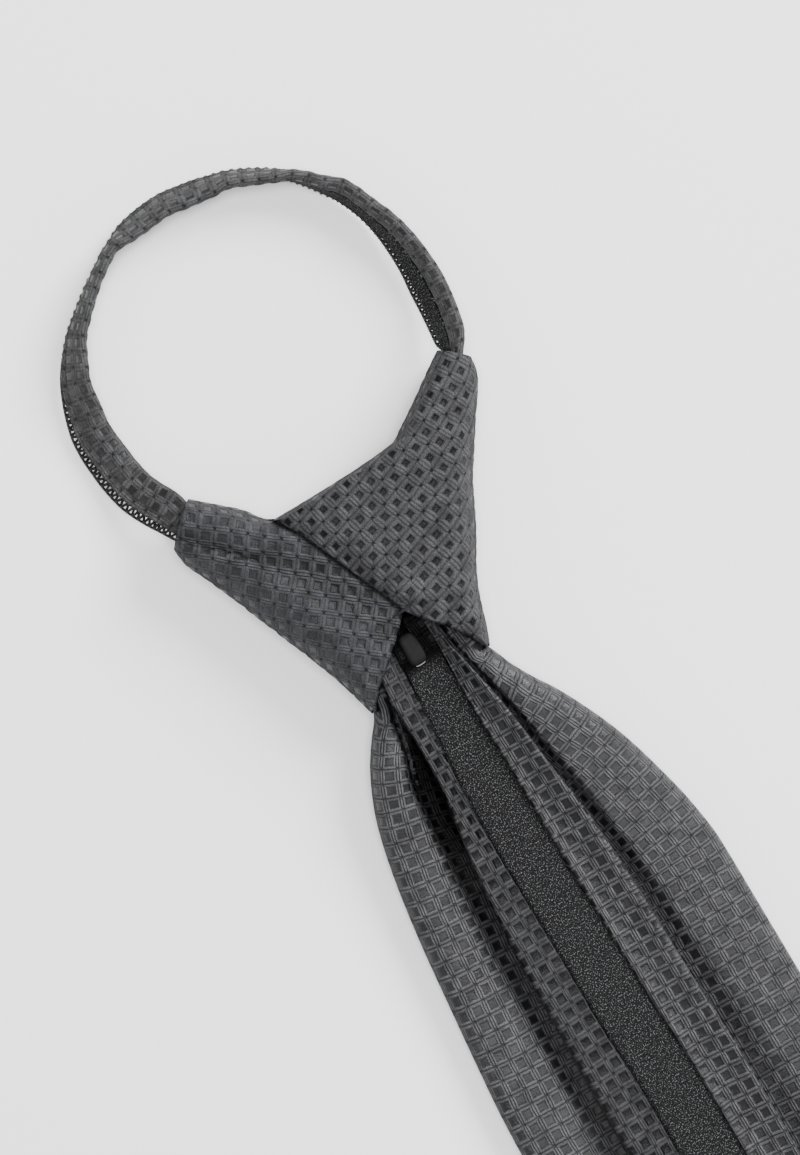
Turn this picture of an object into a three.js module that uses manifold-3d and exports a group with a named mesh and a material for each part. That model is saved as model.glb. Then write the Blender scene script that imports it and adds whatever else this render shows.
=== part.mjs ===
// A pre-tied necktie with a zip, lying flat with its back up.
// Millimetres. +X is to the right seen from above, +Y runs from the tip to the neck loop, +Z is up.

import * as THREE from 'three';
import Module from 'manifold-3d';

const wasm = await Module();
wasm.setup();

// Driving dimensions

const bladeLength = 430;        // knot's lower edge to the tip
const bladeHalfWidth = 40;      // at the widest place, where the tip begins
const bladeThickness = 4.1;     // folded blade where it lies flat
const tipHeight = 40;           // length of the pointed end
const tipHalfWidth = 3.4;       // blunt nose of the point
const flareLength = 100;        // stretch in which the gathered blade opens out
const slitHalfWidth = 0.6;      // opening between the two back panels
const clothWall = 1.2;          // folded tie cloth with its backing
const gap = 0.3;                // clear space between pieces
const seamGap = 0.5;            // clear space where cloth is sewn or folded to its neighbour

const knotHeight = 46;          // lower edge to upper edge
const knotHalfSpan = 40;        // centre line to the end of a wing
const knotDepth = 20;           // front to back
const throatHalfWidth = 14.5;   // knot's lower edge, where the blade comes out
const wedgeFloor = 9;           // height above which the back of the throat is open

const tailLength = 250;         // knot's lower edge to the end of the zip
const tailHalfWidth = 16;       // tape and both bands
const tailBandHeight = 2.7;     // folded band of the tail, where it lies flat
const tapeThickness = 1;        // woven zip tape

const neckRadius = 38;          // centre of the loop to the middle of the neckband
const neckRise = 34;            // knot's upper edge to the centre of the loop
const neckOffset = 2;           // centre of the loop, to the right of the centre line
const bandWidth = 7.4;          // cloth of the neckband
const bandThickness = 2.4;      // two layers of it
const neckTapeWidth = 3.6;      // zip tape on the neckband
const coilDiameter = 1.4;       // nylon coil on the tape's edge
const mouthReach = 5;           // neckband inside each wing of the knot

const sliderWidth = 4;          // dark cap of the slider
const sliderLength = 7.2;
const sliderThickness = 1.5;
const sliderStart = 3.9;        // knot's lower edge to the cap
const sliderOffset = -0.5;      // cap's centre from the centre line
const plateThickness = 0.5;     // bare metal plate under the cap
const plateReveal = 0.4;        // how far its edge stands out below the cap
const plateWidth = sliderWidth * 0.85;
const sliderCorner = sliderWidth * 0.35;

const restDistance = 200;       // knot's lower edge to the resting point, the origin

// Helpers for tables and closed solids

const table = (columns, rows) => rows.map(
  (row) => Object.fromEntries(columns.map((name, i) => [name, row[i]])),
);

function lookUp(rows, key, value, column) {
  const last = rows.length - 1;
  if (value <= rows[0][key]) return rows[0][column];
  if (value >= rows[last][key]) return rows[last][column];
  const next = rows.findIndex((row) => row[key] >= value);
  const a = rows[next - 1];
  const b = rows[next];
  const share = (value - a[key]) / (b[key] - a[key]);
  return a[column] + (b[column] - a[column]) * share;
}

const mix = (a, b, share) => a + (b - a) * share;
const smooth = (share) => share * share * (3 - 2 * share);
const range = (count) => Array.from({ length: count }, (unused, i) => i);

// Joins equal rings of points into one closed solid. flat holds the first and last ring in 2-D.
function loft(rings, flatStart, flatEnd) {
  const size = rings[0].length;
  const positions = rings.flat().flatMap((point) => [point.x, point.y, point.z]);
  const index = [];
  for (const i of range(rings.length - 1)) {
    for (const j of range(size)) {
      const a = i * size + j;
      const b = i * size + ((j + 1) % size);
      index.push(a, b, b + size, a, b + size, a + size);
    }
  }
  const turn = Math.sign(THREE.ShapeUtils.area(flatStart));
  const order = turn > 0 ? [0, 2, 1] : [0, 1, 2];
  for (const face of THREE.ShapeUtils.triangulateShape(flatStart, [])) {
    index.push(...order.map((k) => face[k]));
  }
  const base = (rings.length - 1) * size;
  for (const face of THREE.ShapeUtils.triangulateShape(flatEnd, [])) {
    index.push(...[...order].reverse().map((k) => base + face[k]));
  }
  const geometry = new THREE.BufferGeometry();
  geometry.setAttribute('position', new THREE.Float32BufferAttribute(positions, 3));
  geometry.setIndex(index);
  if (volume(geometry) < 0) geometry.setIndex(index.reverse());
  return geometry;
}

function volume(geometry) {
  const position = geometry.getAttribute('position');
  const index = geometry.getIndex().array;
  const corner = [new THREE.Vector3(), new THREE.Vector3(), new THREE.Vector3()];
  let sum = 0;
  for (let i = 0; i < index.length; i += 3) {
    corner.forEach((point, k) => point.fromBufferAttribute(position, index[i + k]));
    sum += corner[0].dot(corner[1].clone().cross(corner[2])) / 6;
  }
  return sum;
}

function toSolid(geometry) {
  const vertProperties = new Float32Array(geometry.getAttribute('position').array);
  const triVerts = new Uint32Array(geometry.getIndex().array);
  return new wasm.Manifold(new wasm.Mesh({ numProp: 3, vertProperties, triVerts }));
}

function toGeometry(solid) {
  const mesh = solid.getMesh();
  const geometry = new THREE.BufferGeometry();
  geometry.setAttribute('position', new THREE.BufferAttribute(mesh.vertProperties, 3));
  geometry.setIndex(new THREE.BufferAttribute(mesh.triVerts, 1));
  return geometry;
}

// Finishes

const finish = (color, roughness, metalness = 0) => new THREE.MeshStandardMaterial(
  { color, roughness, metalness, flatShading: true },
);
const jacquard = finish(0x4e4e50, 0.75);
const zipTape = finish(0x38393a, 0.9);
const nylonCoil = finish(0x2c2c2e, 0.5);
const darkCap = finish(0x3f4043, 0.35);
const bareMetal = finish(0xc8c8c8, 0.25, 1);

// Tail: where its edges run, down the blade. Across values are shares of tailHalfWidth.

const tailRows = table(
  ['down', 'leftOut', 'leftIn', 'rightIn', 'rightOut', 'swell'],
  [
    [-0.13, -0.55, -0.27, 0.27, 0.39, 0.9],
    [-0.06, -0.59, -0.27, 0.29, 0.41, 1.4],
    [0.00, -0.63, -0.29, 0.28, 0.49, 1.6],
    [0.05, -0.61, -0.31, 0.27, 0.56, 1.7],
    [0.10, -0.60, -0.33, 0.27, 0.63, 1.7],
    [0.20, -0.63, -0.34, 0.29, 0.72, 1.6],
    [0.30, -0.71, -0.36, 0.30, 0.80, 1.45],
    [0.40, -0.79, -0.37, 0.31, 0.89, 1.3],
    [0.50, -0.83, -0.37, 0.32, 0.94, 1.2],
    [0.60, -0.87, -0.37, 0.34, 0.97, 1.1],
    [0.80, -0.89, -0.36, 0.38, 1.01, 1.0],
    [1.00, -0.90, -0.32, 0.44, 1.07, 1.0],
    [1.20, -0.90, -0.32, 0.45, 1.08, 1.0],
  ],
);
const tailAt = (down, column) => lookUp(tailRows, 'down', down, column);
const tailEdge = (down, column) => tailAt(down, column) * tailHalfWidth;

// Blade: left and right say how far each side has opened from the throat to the full half width.
// Heights are shares of knotDepth above the flat blade, lift is the front panel's share of it.

const bladeRows = table(
  ['down', 'left', 'right', 'lift', 'crestLeft', 'crestRight', 'valley'],
  [
    [-0.14, -0.020, -0.055, 0.200, 0.385, 0.375, 0.315],
    [-0.06, -0.015, -0.040, 0.175, 0.380, 0.370, 0.295],
    [0.00, -0.015, -0.040, 0.160, 0.375, 0.365, 0.275],
    [0.014, 0.070, 0.040, 0.130, 0.385, 0.375, 0.270],
    [0.05, 0.170, 0.100, 0.105, 0.395, 0.395, 0.245],
    [0.10, 0.290, 0.200, 0.075, 0.385, 0.375, 0.210],
    [0.15, 0.380, 0.320, 0.050, 0.345, 0.335, 0.175],
    [0.20, 0.450, 0.420, 0.035, 0.290, 0.290, 0.140],
    [0.30, 0.540, 0.585, 0.015, 0.215, 0.215, 0.085],
    [0.40, 0.600, 0.700, 0.005, 0.165, 0.165, 0.045],
    [0.50, 0.645, 0.790, 0.000, 0.135, 0.130, 0.020],
    [0.60, 0.680, 0.840, 0.000, 0.115, 0.105, 0.010],
    [0.75, 0.730, 0.850, 0.000, 0.095, 0.085, 0.005],
    [0.90, 0.770, 0.858, 0.000, 0.085, 0.075, 0.000],
    [1.20, 0.795, 0.870, 0.000, 0.075, 0.070, 0.000],
  ],
);
const bladeAt = (down, column) => lookUp(bladeRows, 'down', down, column);
const throatInside = throatHalfWidth - clothWall - gap;
const openTo = (share) => throatInside + (bladeHalfWidth - throatInside) * share;
const valleyHeight = (down) => bladeThickness + bladeAt(down, 'valley') * knotDepth;
const crestFlat = 0.045;        // share of knotDepth that the panels' crests keep near the tip
const foldShare = 0.45;         // depth of a side fold against its height
const shoulderShare = 0.5;      // panel that stays high, from the side fold to the tail
const footGap = 0.4;            // blade's valley beside the tail
const leastFold = clothWall * 1.2;
const foldRoom = 0.3;           // most of the panel's width that a side fold takes
const noseFoot = slitHalfWidth * 1.5;
const noseSlit = slitHalfWidth * 0.6;
const diveSteps = 4;
const foldSteps = 5;

// One section of the blade: a folded cloth with a slit along its back.
function bladeSection(station) {
  const { left, right, lift, crestLeft, crestRight, valley, footLeft, footRight, slit } = station;
  const half = (side, inset) => {
    const edge = side < 0 ? left : right;
    const crest = (side < 0 ? crestLeft : crestRight) - inset;
    const foot = side < 0 ? footLeft : footRight;
    const floor = lift + inset;
    const room = Math.abs(edge - foot);
    const depth = Math.max(leastFold, Math.min(foldShare * (crest - floor), room * foldRoom));
    const wall = edge - side * inset;
    const turn = edge - side * depth;
    const shoulder = mix(turn, foot, 1 - shoulderShare);
    const low = valley - inset;
    const points = [new THREE.Vector2(side * slit, low)];
    for (const i of range(diveSteps + 1)) {
      const share = i / diveSteps;
      points.push(new THREE.Vector2(mix(foot, shoulder, share), mix(low, crest, smooth(share))));
    }
    const middle = (crest + floor) / 2;
    const rise = (crest - floor) / 2;
    for (const i of range(foldSteps)) {
      const angle = (Math.PI * i) / (foldSteps - 1);
      const x = turn + (wall - turn) * Math.sin(angle);
      points.push(new THREE.Vector2(x, middle + rise * Math.cos(angle)));
    }
    return points;
  };
  const outer = [...half(-1, 0), ...half(1, 0).reverse()];
  const inner = [...half(-1, clothWall), ...half(1, clothWall).reverse()];
  return [...outer, ...inner.reverse()];
}

function bladeStation(down) {
  const y = -down * flareLength;
  return {
    y,
    left: -openTo(bladeAt(down, 'left')),
    right: openTo(bladeAt(down, 'right')),
    lift: bladeAt(down, 'lift') * knotDepth,
    crestLeft: bladeThickness + bladeAt(down, 'crestLeft') * knotDepth,
    crestRight: bladeThickness + bladeAt(down, 'crestRight') * knotDepth,
    valley: valleyHeight(down),
    footLeft: tailEdge(down, 'leftOut') - footGap,
    footRight: tailEdge(down, 'rightOut') + footGap,
    slit: slitHalfWidth,
  };
}

function buildBlade() {
  const stations = bladeRows.map((row) => bladeStation(row.down));
  const flat = stations[stations.length - 1];
  const widest = {
    ...flat,
    y: tipHeight - bladeLength,
    left: -bladeHalfWidth,
    right: bladeHalfWidth,
    crestLeft: bladeThickness + crestFlat * knotDepth,
    crestRight: bladeThickness + crestFlat * knotDepth,
  };
  const between = (a, b, share) => Object.fromEntries(
    Object.keys(a).map((name) => [name, mix(a[name], b[name], share)]),
  );
  const nose = {
    y: -bladeLength,
    left: -tipHalfWidth,
    right: tipHalfWidth,
    lift: 0,
    crestLeft: bladeThickness,
    crestRight: bladeThickness,
    valley: bladeThickness,
    footLeft: -noseFoot,
    footRight: noseFoot,
    slit: noseSlit,
  };
  stations.push(between(flat, widest, 0.5), widest, between(widest, nose, 0.5), nose);
  const flats = stations.map(bladeSection);
  const rings = flats.map((section, i) => section.map(
    (point) => new THREE.Vector3(point.x, stations[i].y, point.y),
  ));
  return loft(rings, flats[0], flats[flats.length - 1]);
}

// Tail: tape in the middle, a folded band on each side, all seated on the blade's valley.

const tailSeat = (down) => valleyHeight(down) + gap;
const tailEnd = tailLength / flareLength;
const tailDowns = tailRows.map((row) => row.down);
tailDowns.push(mix(tailDowns.at(-1), tailEnd, 0.5), tailEnd);

// Height of a band across its width, as shares of its width and its height.
const leftBandTop = table(['across', 'height'], [
  [0.00, 0.30], [0.04, 0.78], [0.14, 0.97], [0.30, 1.00],
  [0.60, 0.90], [0.74, 0.80], [0.78, 0.58], [1.00, 0.50],
]);
const rightBandTop = table(['across', 'height'], [
  [0.00, 0.40], [0.04, 0.66], [0.14, 0.68], [0.26, 0.54], [0.50, 0.58],
  [0.56, 0.72], [0.82, 0.97], [0.95, 1.00], [1.00, 0.62],
]);

function tailBand(top, fromColumn, toColumn) {
  const flats = tailDowns.map((down) => {
    const start = tailEdge(down, fromColumn);
    const end = tailEdge(down, toColumn);
    const seat = tailSeat(down);
    const height = tailBandHeight * tailAt(down, 'swell');
    const crown = top.map(
      (row) => new THREE.Vector2(mix(start, end, row.across), seat + height * row.height),
    );
    return [new THREE.Vector2(start, seat), ...crown, new THREE.Vector2(end, seat)];
  });
  const rings = flats.map((section, i) => section.map(
    (point) => new THREE.Vector3(point.x, -tailDowns[i] * flareLength, point.y),
  ));
  return loft(rings, flats[0], flats[flats.length - 1]);
}

function buildTape() {
  const flats = tailDowns.map((down) => {
    const left = tailEdge(down, 'leftIn') + gap;
    const right = tailEdge(down, 'rightIn') - gap;
    const low = tailSeat(down);
    const high = low + tapeThickness;
    return [[left, low], [right, low], [right, high], [left, high]].map(
      ([x, z]) => new THREE.Vector2(x, z),
    );
  });
  const rings = flats.map((section, i) => section.map(
    (point) => new THREE.Vector3(point.x, -tailDowns[i] * flareLength, point.y),
  ));
  return loft(rings, flats[0], flats[flats.length - 1]);
}

// Knot: each wrap runs from the mouth of its wing down to the throat. A row gives the two ends
// of one section in plan as shares of knotHalfSpan and knotHeight, the lowest and highest point
// as shares of knotDepth, and how far each end is rounded, as shares of knotDepth.

const wrapColumns = ['ax', 'ay', 'bx', 'by', 'low', 'high', 'roundA', 'roundB'];
const leftWrapRows = table(wrapColumns, [
  [-0.832, 1.091, -0.635, 1.259, 0.18, 0.71, 0.16, 0.16],
  [-0.818, 1.013, -0.530, 1.178, 0.14, 0.75, 0.22, 0.20],
  [-0.772, 0.922, -0.420, 1.093, 0.09, 0.79, 0.27, 0.22],
  [-0.725, 0.833, -0.335, 1.004, 0.06, 0.82, 0.30, 0.15],
  [-0.675, 0.730, -0.100, 0.913, 0.04, 0.85, 0.32, 0.12],
  [-0.622, 0.617, 0.100, 0.804, 0.03, 0.865, 0.35, 0.12],
  [-0.560, 0.487, 0.225, 0.652, 0.025, 0.87, 0.35, 0.12],
  [-0.500, 0.361, 0.275, 0.478, 0.025, 0.87, 0.34, 0.12],
  [-0.445, 0.239, 0.275, 0.304, 0.03, 0.86, 0.28, 0.12],
  [-0.398, 0.109, 0.250, 0.130, 0.04, 0.845, 0.20, 0.12],
  [-0.363, 0.000, 0.225, 0.000, 0.06, 0.825, 0.17, 0.12],
]);
const rightWrapRows = table(wrapColumns, [
  [0.880, 1.278, 1.015, 1.178, 0.18, 0.70, 0.15, 0.13],
  [0.768, 1.211, 1.003, 1.109, 0.13, 0.76, 0.20, 0.17],
  [0.643, 1.133, 0.945, 1.015, 0.08, 0.82, 0.22, 0.22],
  [0.513, 1.057, 0.880, 0.933, 0.04, 0.87, 0.22, 0.30],
  [0.438, 1.017, 0.835, 0.870, 0.02, 0.90, 0.20, 0.32],
  [0.200, 0.996, 0.775, 0.791, 0.00, 0.93, 0.17, 0.35],
  [-0.075, 0.987, 0.708, 0.700, 0.00, 0.94, 0.16, 0.37],
  [-0.315, 0.983, 0.650, 0.598, 0.00, 0.94, 0.12, 0.37],
  [-0.230, 0.880, 0.600, 0.509, 0.00, 0.94, 0.08, 0.37],
  [-0.160, 0.746, 0.550, 0.430, 0.00, 0.94, 0.08, 0.37],
  [-0.090, 0.607, 0.485, 0.330, 0.00, 0.93, 0.075, 0.35],
  [-0.018, 0.465, 0.433, 0.226, 0.00, 0.92, 0.075, 0.30],
  [0.038, 0.359, 0.400, 0.135, 0.01, 0.90, 0.075, 0.24],
  [0.040, 0.174, 0.375, 0.061, 0.03, 0.88, 0.075, 0.19],
  [0.040, 0.000, 0.345, 0.000, 0.05, 0.86, 0.075, 0.17],
]);
const roundSteps = 7;
const crownSteps = 3;
const crownShare = 0.02;        // bulge of the cloth between its two rounded ends
const overrun = 4;              // how far a hollow is cut past a mouth
const minimumRound = 0.2;

// Section of a wrap in its upright plane, grown by an offset (negative for the hollow inside).
function wrapSection(row, grow) {
  const a = new THREE.Vector2(row.ax * knotHalfSpan, row.ay * knotHeight);
  const b = new THREE.Vector2(row.bx * knotHalfSpan, row.by * knotHeight);
  const length = a.distanceTo(b);
  const low = row.low * knotDepth - grow;
  const high = row.high * knotDepth + grow;
  const middle = (low + high) / 2;
  const rise = (high - low) / 2;
  const roundA = Math.max(minimumRound, row.roundA * knotDepth + grow);
  const roundB = Math.max(minimumRound, row.roundB * knotDepth + grow);
  const start = -grow;
  const end = length + grow;
  const flat = [];
  for (const i of range(roundSteps)) {
    const angle = Math.PI / 2 + (Math.PI * i) / (roundSteps - 1);
    const across = start + roundA + roundA * Math.cos(angle);
    flat.push(new THREE.Vector2(across, middle + rise * Math.sin(angle)));
  }
  const crown = (share) => crownShare * knotDepth * Math.sin(Math.PI * share);
  for (const i of range(crownSteps)) {
    const share = (i + 1) / (crownSteps + 1);
    flat.push(new THREE.Vector2(mix(start + roundA, end - roundB, share), low));
  }
  for (const i of range(roundSteps)) {
    const angle = -Math.PI / 2 + (Math.PI * i) / (roundSteps - 1);
    const across = end - roundB + roundB * Math.cos(angle);
    flat.push(new THREE.Vector2(across, middle + rise * Math.sin(angle)));
  }
  for (const i of range(crownSteps)) {
    const share = (i + 1) / (crownSteps + 1);
    flat.push(new THREE.Vector2(mix(end - roundB, start + roundA, share), high + crown(share)));
  }
  const along = b.clone().sub(a).normalize();
  const ring = flat.map((point) => new THREE.Vector3(
    a.x + along.x * point.x,
    a.y + along.y * point.x,
    point.y,
  ));
  return { flat, ring };
}

function pushPast(from, to, distance) {
  const total = (ring) => ring.reduce((sum, point) => sum.add(point), new THREE.Vector3());
  const step = total(from).sub(total(to)).setZ(0).setLength(distance);
  return from.map((point) => point.clone().add(step));
}

function wrapBody(rows, grow) {
  const sections = rows.map((row) => wrapSection(row, grow));
  const flats = sections.map((section) => section.flat);
  const rings = sections.map((section) => section.ring);
  if (grow < 0) {
    rings.unshift(pushPast(rings[0], rings[1], overrun));
    flats.unshift(flats[0]);
    rings.push(pushPast(rings.at(-1), rings.at(-2), overrun));
    flats.push(flats.at(-1));
  }
  return toSolid(loft(rings, flats[0], flats[flats.length - 1]));
}

// The hollow under the knot's point, where the slider shows, in shares of the knot's sizes.
const wedgeOutline = table(['x', 'y'], [
  [0.050, 0.330], [-0.035, 0.257], [-0.143, 0.172], [-0.250, 0.093],
  [-0.345, 0.030], [-0.450, -0.060], [0.450, -0.060], [0.335, 0.020],
  [0.260, 0.109], [0.178, 0.202], [0.108, 0.263],
]);

function buildWedge() {
  const shape = new THREE.Shape(wedgeOutline.map(
    (row) => new THREE.Vector2(row.x * knotHalfSpan, row.y * knotHeight),
  ));
  const points = shape.getPoints();
  const ringAt = (z) => points.map((point) => new THREE.Vector3(point.x, point.y, z));
  return toSolid(loft([ringAt(wedgeFloor), ringAt(knotDepth + overrun)], points, points));
}

function buildWraps() {
  const outerLeft = wrapBody(leftWrapRows, 0);
  const outerRight = wrapBody(rightWrapRows, 0);
  const hollow = wrapBody(leftWrapRows, -clothWall).add(wrapBody(rightWrapRows, -clothWall));
  const cut = hollow.add(buildWedge());
  const right = outerRight.subtract(cut);
  const left = outerLeft.subtract(cut).subtract(wrapBody(rightWrapRows, seamGap));
  return { left: toGeometry(left), right: toGeometry(right) };
}

// Neck loop: polar table about the loop's centre. tilt 0 lays the coil outwards, 90 stands the
// band on its coil, 180 lays the coil inwards. rise lifts it off the table, in shares of knotDepth.

const neckRows = table(['angle', 'reach', 'tilt', 'rise'], [
  [-28, 1.101, 124, 0.180],
  [-20, 1.062, 131, 0.075],
  [-12, 1.033, 134, 0.020],
  [-4, 1.016, 127, 0.000],
  [4, 1.004, 121, 0.000],
  [12, 0.996, 113, 0.000],
  [20, 0.989, 106, 0.000],
  [28, 0.989, 105, 0.000],
  [36, 0.968, 95, 0.000],
  [44, 0.962, 88, 0.000],
  [52, 0.947, 74, 0.000],
  [60, 0.934, 67, 0.000],
  [68, 0.928, 65, 0.000],
  [76, 0.912, 55, 0.000],
  [84, 0.911, 51, 0.000],
  [92, 0.923, 52, 0.000],
  [100, 0.926, 51, 0.000],
  [108, 0.934, 57, 0.000],
  [116, 0.939, 76, 0.000],
  [124, 0.933, 76, 0.000],
  [132, 0.937, 72, 0.000],
  [140, 0.951, 67, 0.000],
  [148, 0.976, 60, 0.000],
  [156, 0.993, 48, 0.000],
  [164, 1.009, 41, 0.000],
  [172, 1.012, 28, 0.000],
  [180, 1.024, 20, 0.000],
  [188, 1.025, 13, 0.010],
  [196, 1.035, 11, 0.050],
  [204, 1.045, 11, 0.130],
  [212, 1.044, 13, 0.240],
]);

// Sections across the neckband: u runs to the coil, v to the band's outer face.
const tapeProud = neckTapeWidth * 0.2;  // room for the tape beyond the cloth's edge
const tapeUnder = bandWidth * 0.57;     // folded edge of the cloth to the tape's hidden edge
const neckHalf = (bandWidth + tapeProud + seamGap + coilDiameter) / 2;
const halfThickness = bandThickness / 2;
const tapeStart = tapeUnder - neckHalf;
const tapeStop = tapeStart + neckTapeWidth;
const coilCentre = tapeStop + seamGap + coilDiameter / 2;
const neckTapeTop = tapeThickness - halfThickness;
const coilRadius = coilDiameter / 2;
const coilHeight = neckTapeTop - tapeThickness / 2;
const coilSides = 6;
const softCorner = 0.35;
const neckSteps = 2;              // sections from one row of the table to the next
const neckSections = {
  cloth: [
    [-neckHalf, -halfThickness + softCorner * 2],
    [-neckHalf + softCorner, -halfThickness + softCorner * 0.5],
    [-neckHalf + softCorner * 3, -halfThickness],
    [tapeStart - seamGap, -halfThickness],
    [tapeStart - seamGap, neckTapeTop + seamGap],
    [bandWidth - neckHalf, neckTapeTop + seamGap],
    [bandWidth - neckHalf, halfThickness - softCorner],
    [bandWidth - neckHalf - softCorner * 2, halfThickness],
    [-neckHalf + softCorner * 3, halfThickness],
    [-neckHalf + softCorner, halfThickness - softCorner * 0.5],
    [-neckHalf, halfThickness - softCorner * 2],
  ],
  tape: [
    [tapeStart, -halfThickness],
    [tapeStop, -halfThickness],
    [tapeStop, neckTapeTop],
    [tapeStart, neckTapeTop],
  ],
  coil: range(coilSides).map((i) => {
    const angle = (2 * Math.PI * i) / coilSides;
    return [coilCentre + coilRadius * Math.cos(angle), coilHeight + coilRadius * Math.sin(angle)];
  }),
};

// The ends of the neckband lie in the mouths of the wings and take their size from them.
const lipTilt = { right: 106, left: 16 };
const innerTilt = { right: 102, left: 16 };
const mouthFill = { right: 0.82, left: 0.86 };  // share of the mouth that the neckband takes

function mouth(rows) {
  const centre = (row) => new THREE.Vector3(
    ((row.ax + row.bx) / 2) * knotHalfSpan,
    ((row.ay + row.by) / 2) * knotHeight,
    ((row.low + row.high) / 2) * knotDepth,
  );
  const lip = centre(rows[0]);
  const inward = centre(rows[1]).sub(lip).setZ(0).normalize();
  const width = Math.hypot(
    (rows[0].bx - rows[0].ax) * knotHalfSpan,
    (rows[0].by - rows[0].ay) * knotHeight,
  );
  const height = (rows[0].high - rows[0].low) * knotDepth;
  const lining = 2 * (clothWall + gap);
  return { lip, inward, width: width - lining, height: height - lining };
}

function neckStations() {
  const centre = new THREE.Vector2(neckOffset, knotHeight + neckRise);
  const free = neckRows.map((row) => {
    const angle = THREE.MathUtils.degToRad(row.angle);
    const tilt = THREE.MathUtils.degToRad(row.tilt);
    const radius = row.reach * neckRadius;
    const rest = coilCentre * Math.sin(tilt) + halfThickness * Math.abs(Math.cos(tilt)) + coilRadius;
    return {
      point: new THREE.Vector3(
        centre.x + radius * Math.cos(angle),
        centre.y + radius * Math.sin(angle),
        rest + row.rise * knotDepth,
      ),
      tilt,
      scale: 1,
    };
  });
  const rightMouth = mouth(rightWrapRows);
  const leftMouth = mouth(leftWrapRows);
  const endAt = (place, distance, tilt, room) => ({
    point: place.lip.clone().addScaledVector(place.inward, distance),
    tilt: THREE.MathUtils.degToRad(tilt),
    scale: room / (2 * neckHalf + coilDiameter),
  });
  const rightRoom = rightMouth.height * mouthFill.right;
  const leftRoom = leftMouth.width * mouthFill.left;
  const stations = [
    endAt(rightMouth, mouthReach, innerTilt.right, rightRoom),
    endAt(rightMouth, 0, lipTilt.right, rightRoom),
    ...free,
    endAt(leftMouth, 0, lipTilt.left, leftRoom),
    endAt(leftMouth, mouthReach, innerTilt.left, leftRoom),
  ];
  const path = new THREE.CatmullRomCurve3(stations.map((station) => station.point));
  const steps = (stations.length - 1) * neckSteps;
  return range(steps + 1).map((i) => {
    const near = Math.min(Math.floor(i / neckSteps), stations.length - 2);
    const share = i / neckSteps - near;
    return {
      point: path.getPoint(i / steps),
      tilt: mix(stations[near].tilt, stations[near + 1].tilt, share),
      scale: mix(stations[near].scale, stations[near + 1].scale, share),
    };
  });
}

function buildNeckPiece(section) {
  const stations = neckStations();
  const flat = section.map(([u, v]) => new THREE.Vector2(u, v));
  const rings = stations.map((station, i) => {
    const before = stations[Math.max(0, i - 1)].point;
    const after = stations[Math.min(stations.length - 1, i + 1)].point;
    const along = after.clone().sub(before).setZ(0).normalize();
    const outward = new THREE.Vector3(along.y, -along.x, 0);
    const up = new THREE.Vector3(0, 0, 1);
    const { tilt, scale, point } = station;
    const [sine, cosine] = [Math.sin(tilt), Math.cos(tilt)];
    const toCoil = outward.clone().multiplyScalar(cosine).addScaledVector(up, -sine);
    const toFace = outward.clone().multiplyScalar(sine).addScaledVector(up, cosine);
    return section.map(([u, v]) => point.clone()
      .addScaledVector(toCoil, u * scale)
      .addScaledVector(toFace, v * scale));
  });
  return loft(rings, flat, flat);
}

// Slider: a rounded dark cap on a bare metal plate, lying on the tape.

function buildSliderPiece(width, length, thickness, radius) {
  const shape = new THREE.Shape();
  const x = width / 2;
  shape.moveTo(-x, 0);
  shape.lineTo(x, 0);
  shape.lineTo(x, length - radius);
  shape.quadraticCurveTo(x, length, x - radius, length);
  shape.lineTo(radius - x, length);
  shape.quadraticCurveTo(-x, length, -x, length - radius);
  const settings = { depth: thickness, bevelEnabled: false, curveSegments: 4 };
  return new THREE.ExtrudeGeometry(shape, settings);
}

// Assembly

const tie = new THREE.Group();
tie.position.y = restDistance;

function add(name, geometry, material, place = new THREE.Vector3()) {
  const mesh = new THREE.Mesh(geometry, material);
  mesh.name = name;
  mesh.position.copy(place);
  tie.add(mesh);
}

const wraps = buildWraps();
add('blade', buildBlade(), jacquard);
add('knot_left_wrap', wraps.left, jacquard);
add('knot_right_wrap', wraps.right, jacquard);
add('tail_left_band', tailBand(leftBandTop, 'leftOut', 'leftIn'), jacquard);
add('tail_tape', buildTape(), zipTape);
add('tail_right_band', tailBand(rightBandTop, 'rightIn', 'rightOut'), jacquard);
add('neckband_cloth', buildNeckPiece(neckSections.cloth), jacquard);
add('neckband_tape', buildNeckPiece(neckSections.tape), zipTape);
add('neckband_coil', buildNeckPiece(neckSections.coil), nylonCoil);

const sliderSeat = tailSeat(-(sliderStart + sliderLength) / flareLength) + tapeThickness + gap;
add(
  'slider_plate',
  buildSliderPiece(plateWidth, sliderLength, plateThickness, sliderCorner),
  bareMetal,
  new THREE.Vector3(sliderOffset, sliderStart - plateReveal, sliderSeat),
);
add(
  'slider_cap',
  buildSliderPiece(sliderWidth, sliderLength, sliderThickness, sliderCorner),
  darkCap,
  new THREE.Vector3(sliderOffset, sliderStart, sliderSeat + plateThickness + gap),
);

export default tie;
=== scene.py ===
# %% [markdown]
# This is a necktie that comes ready tied. A zip runs up its tail and round the neck loop, and
# the slider hides in the knot. It lies face down on a white table, so the camera sees its back.
# All the sizes come from the solid model, which is loaded first and measured. Each piece is then
# built again as thin cloth over the solid that it stands for.

# %% Load the solid model
import math
from functools import partial

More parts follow.
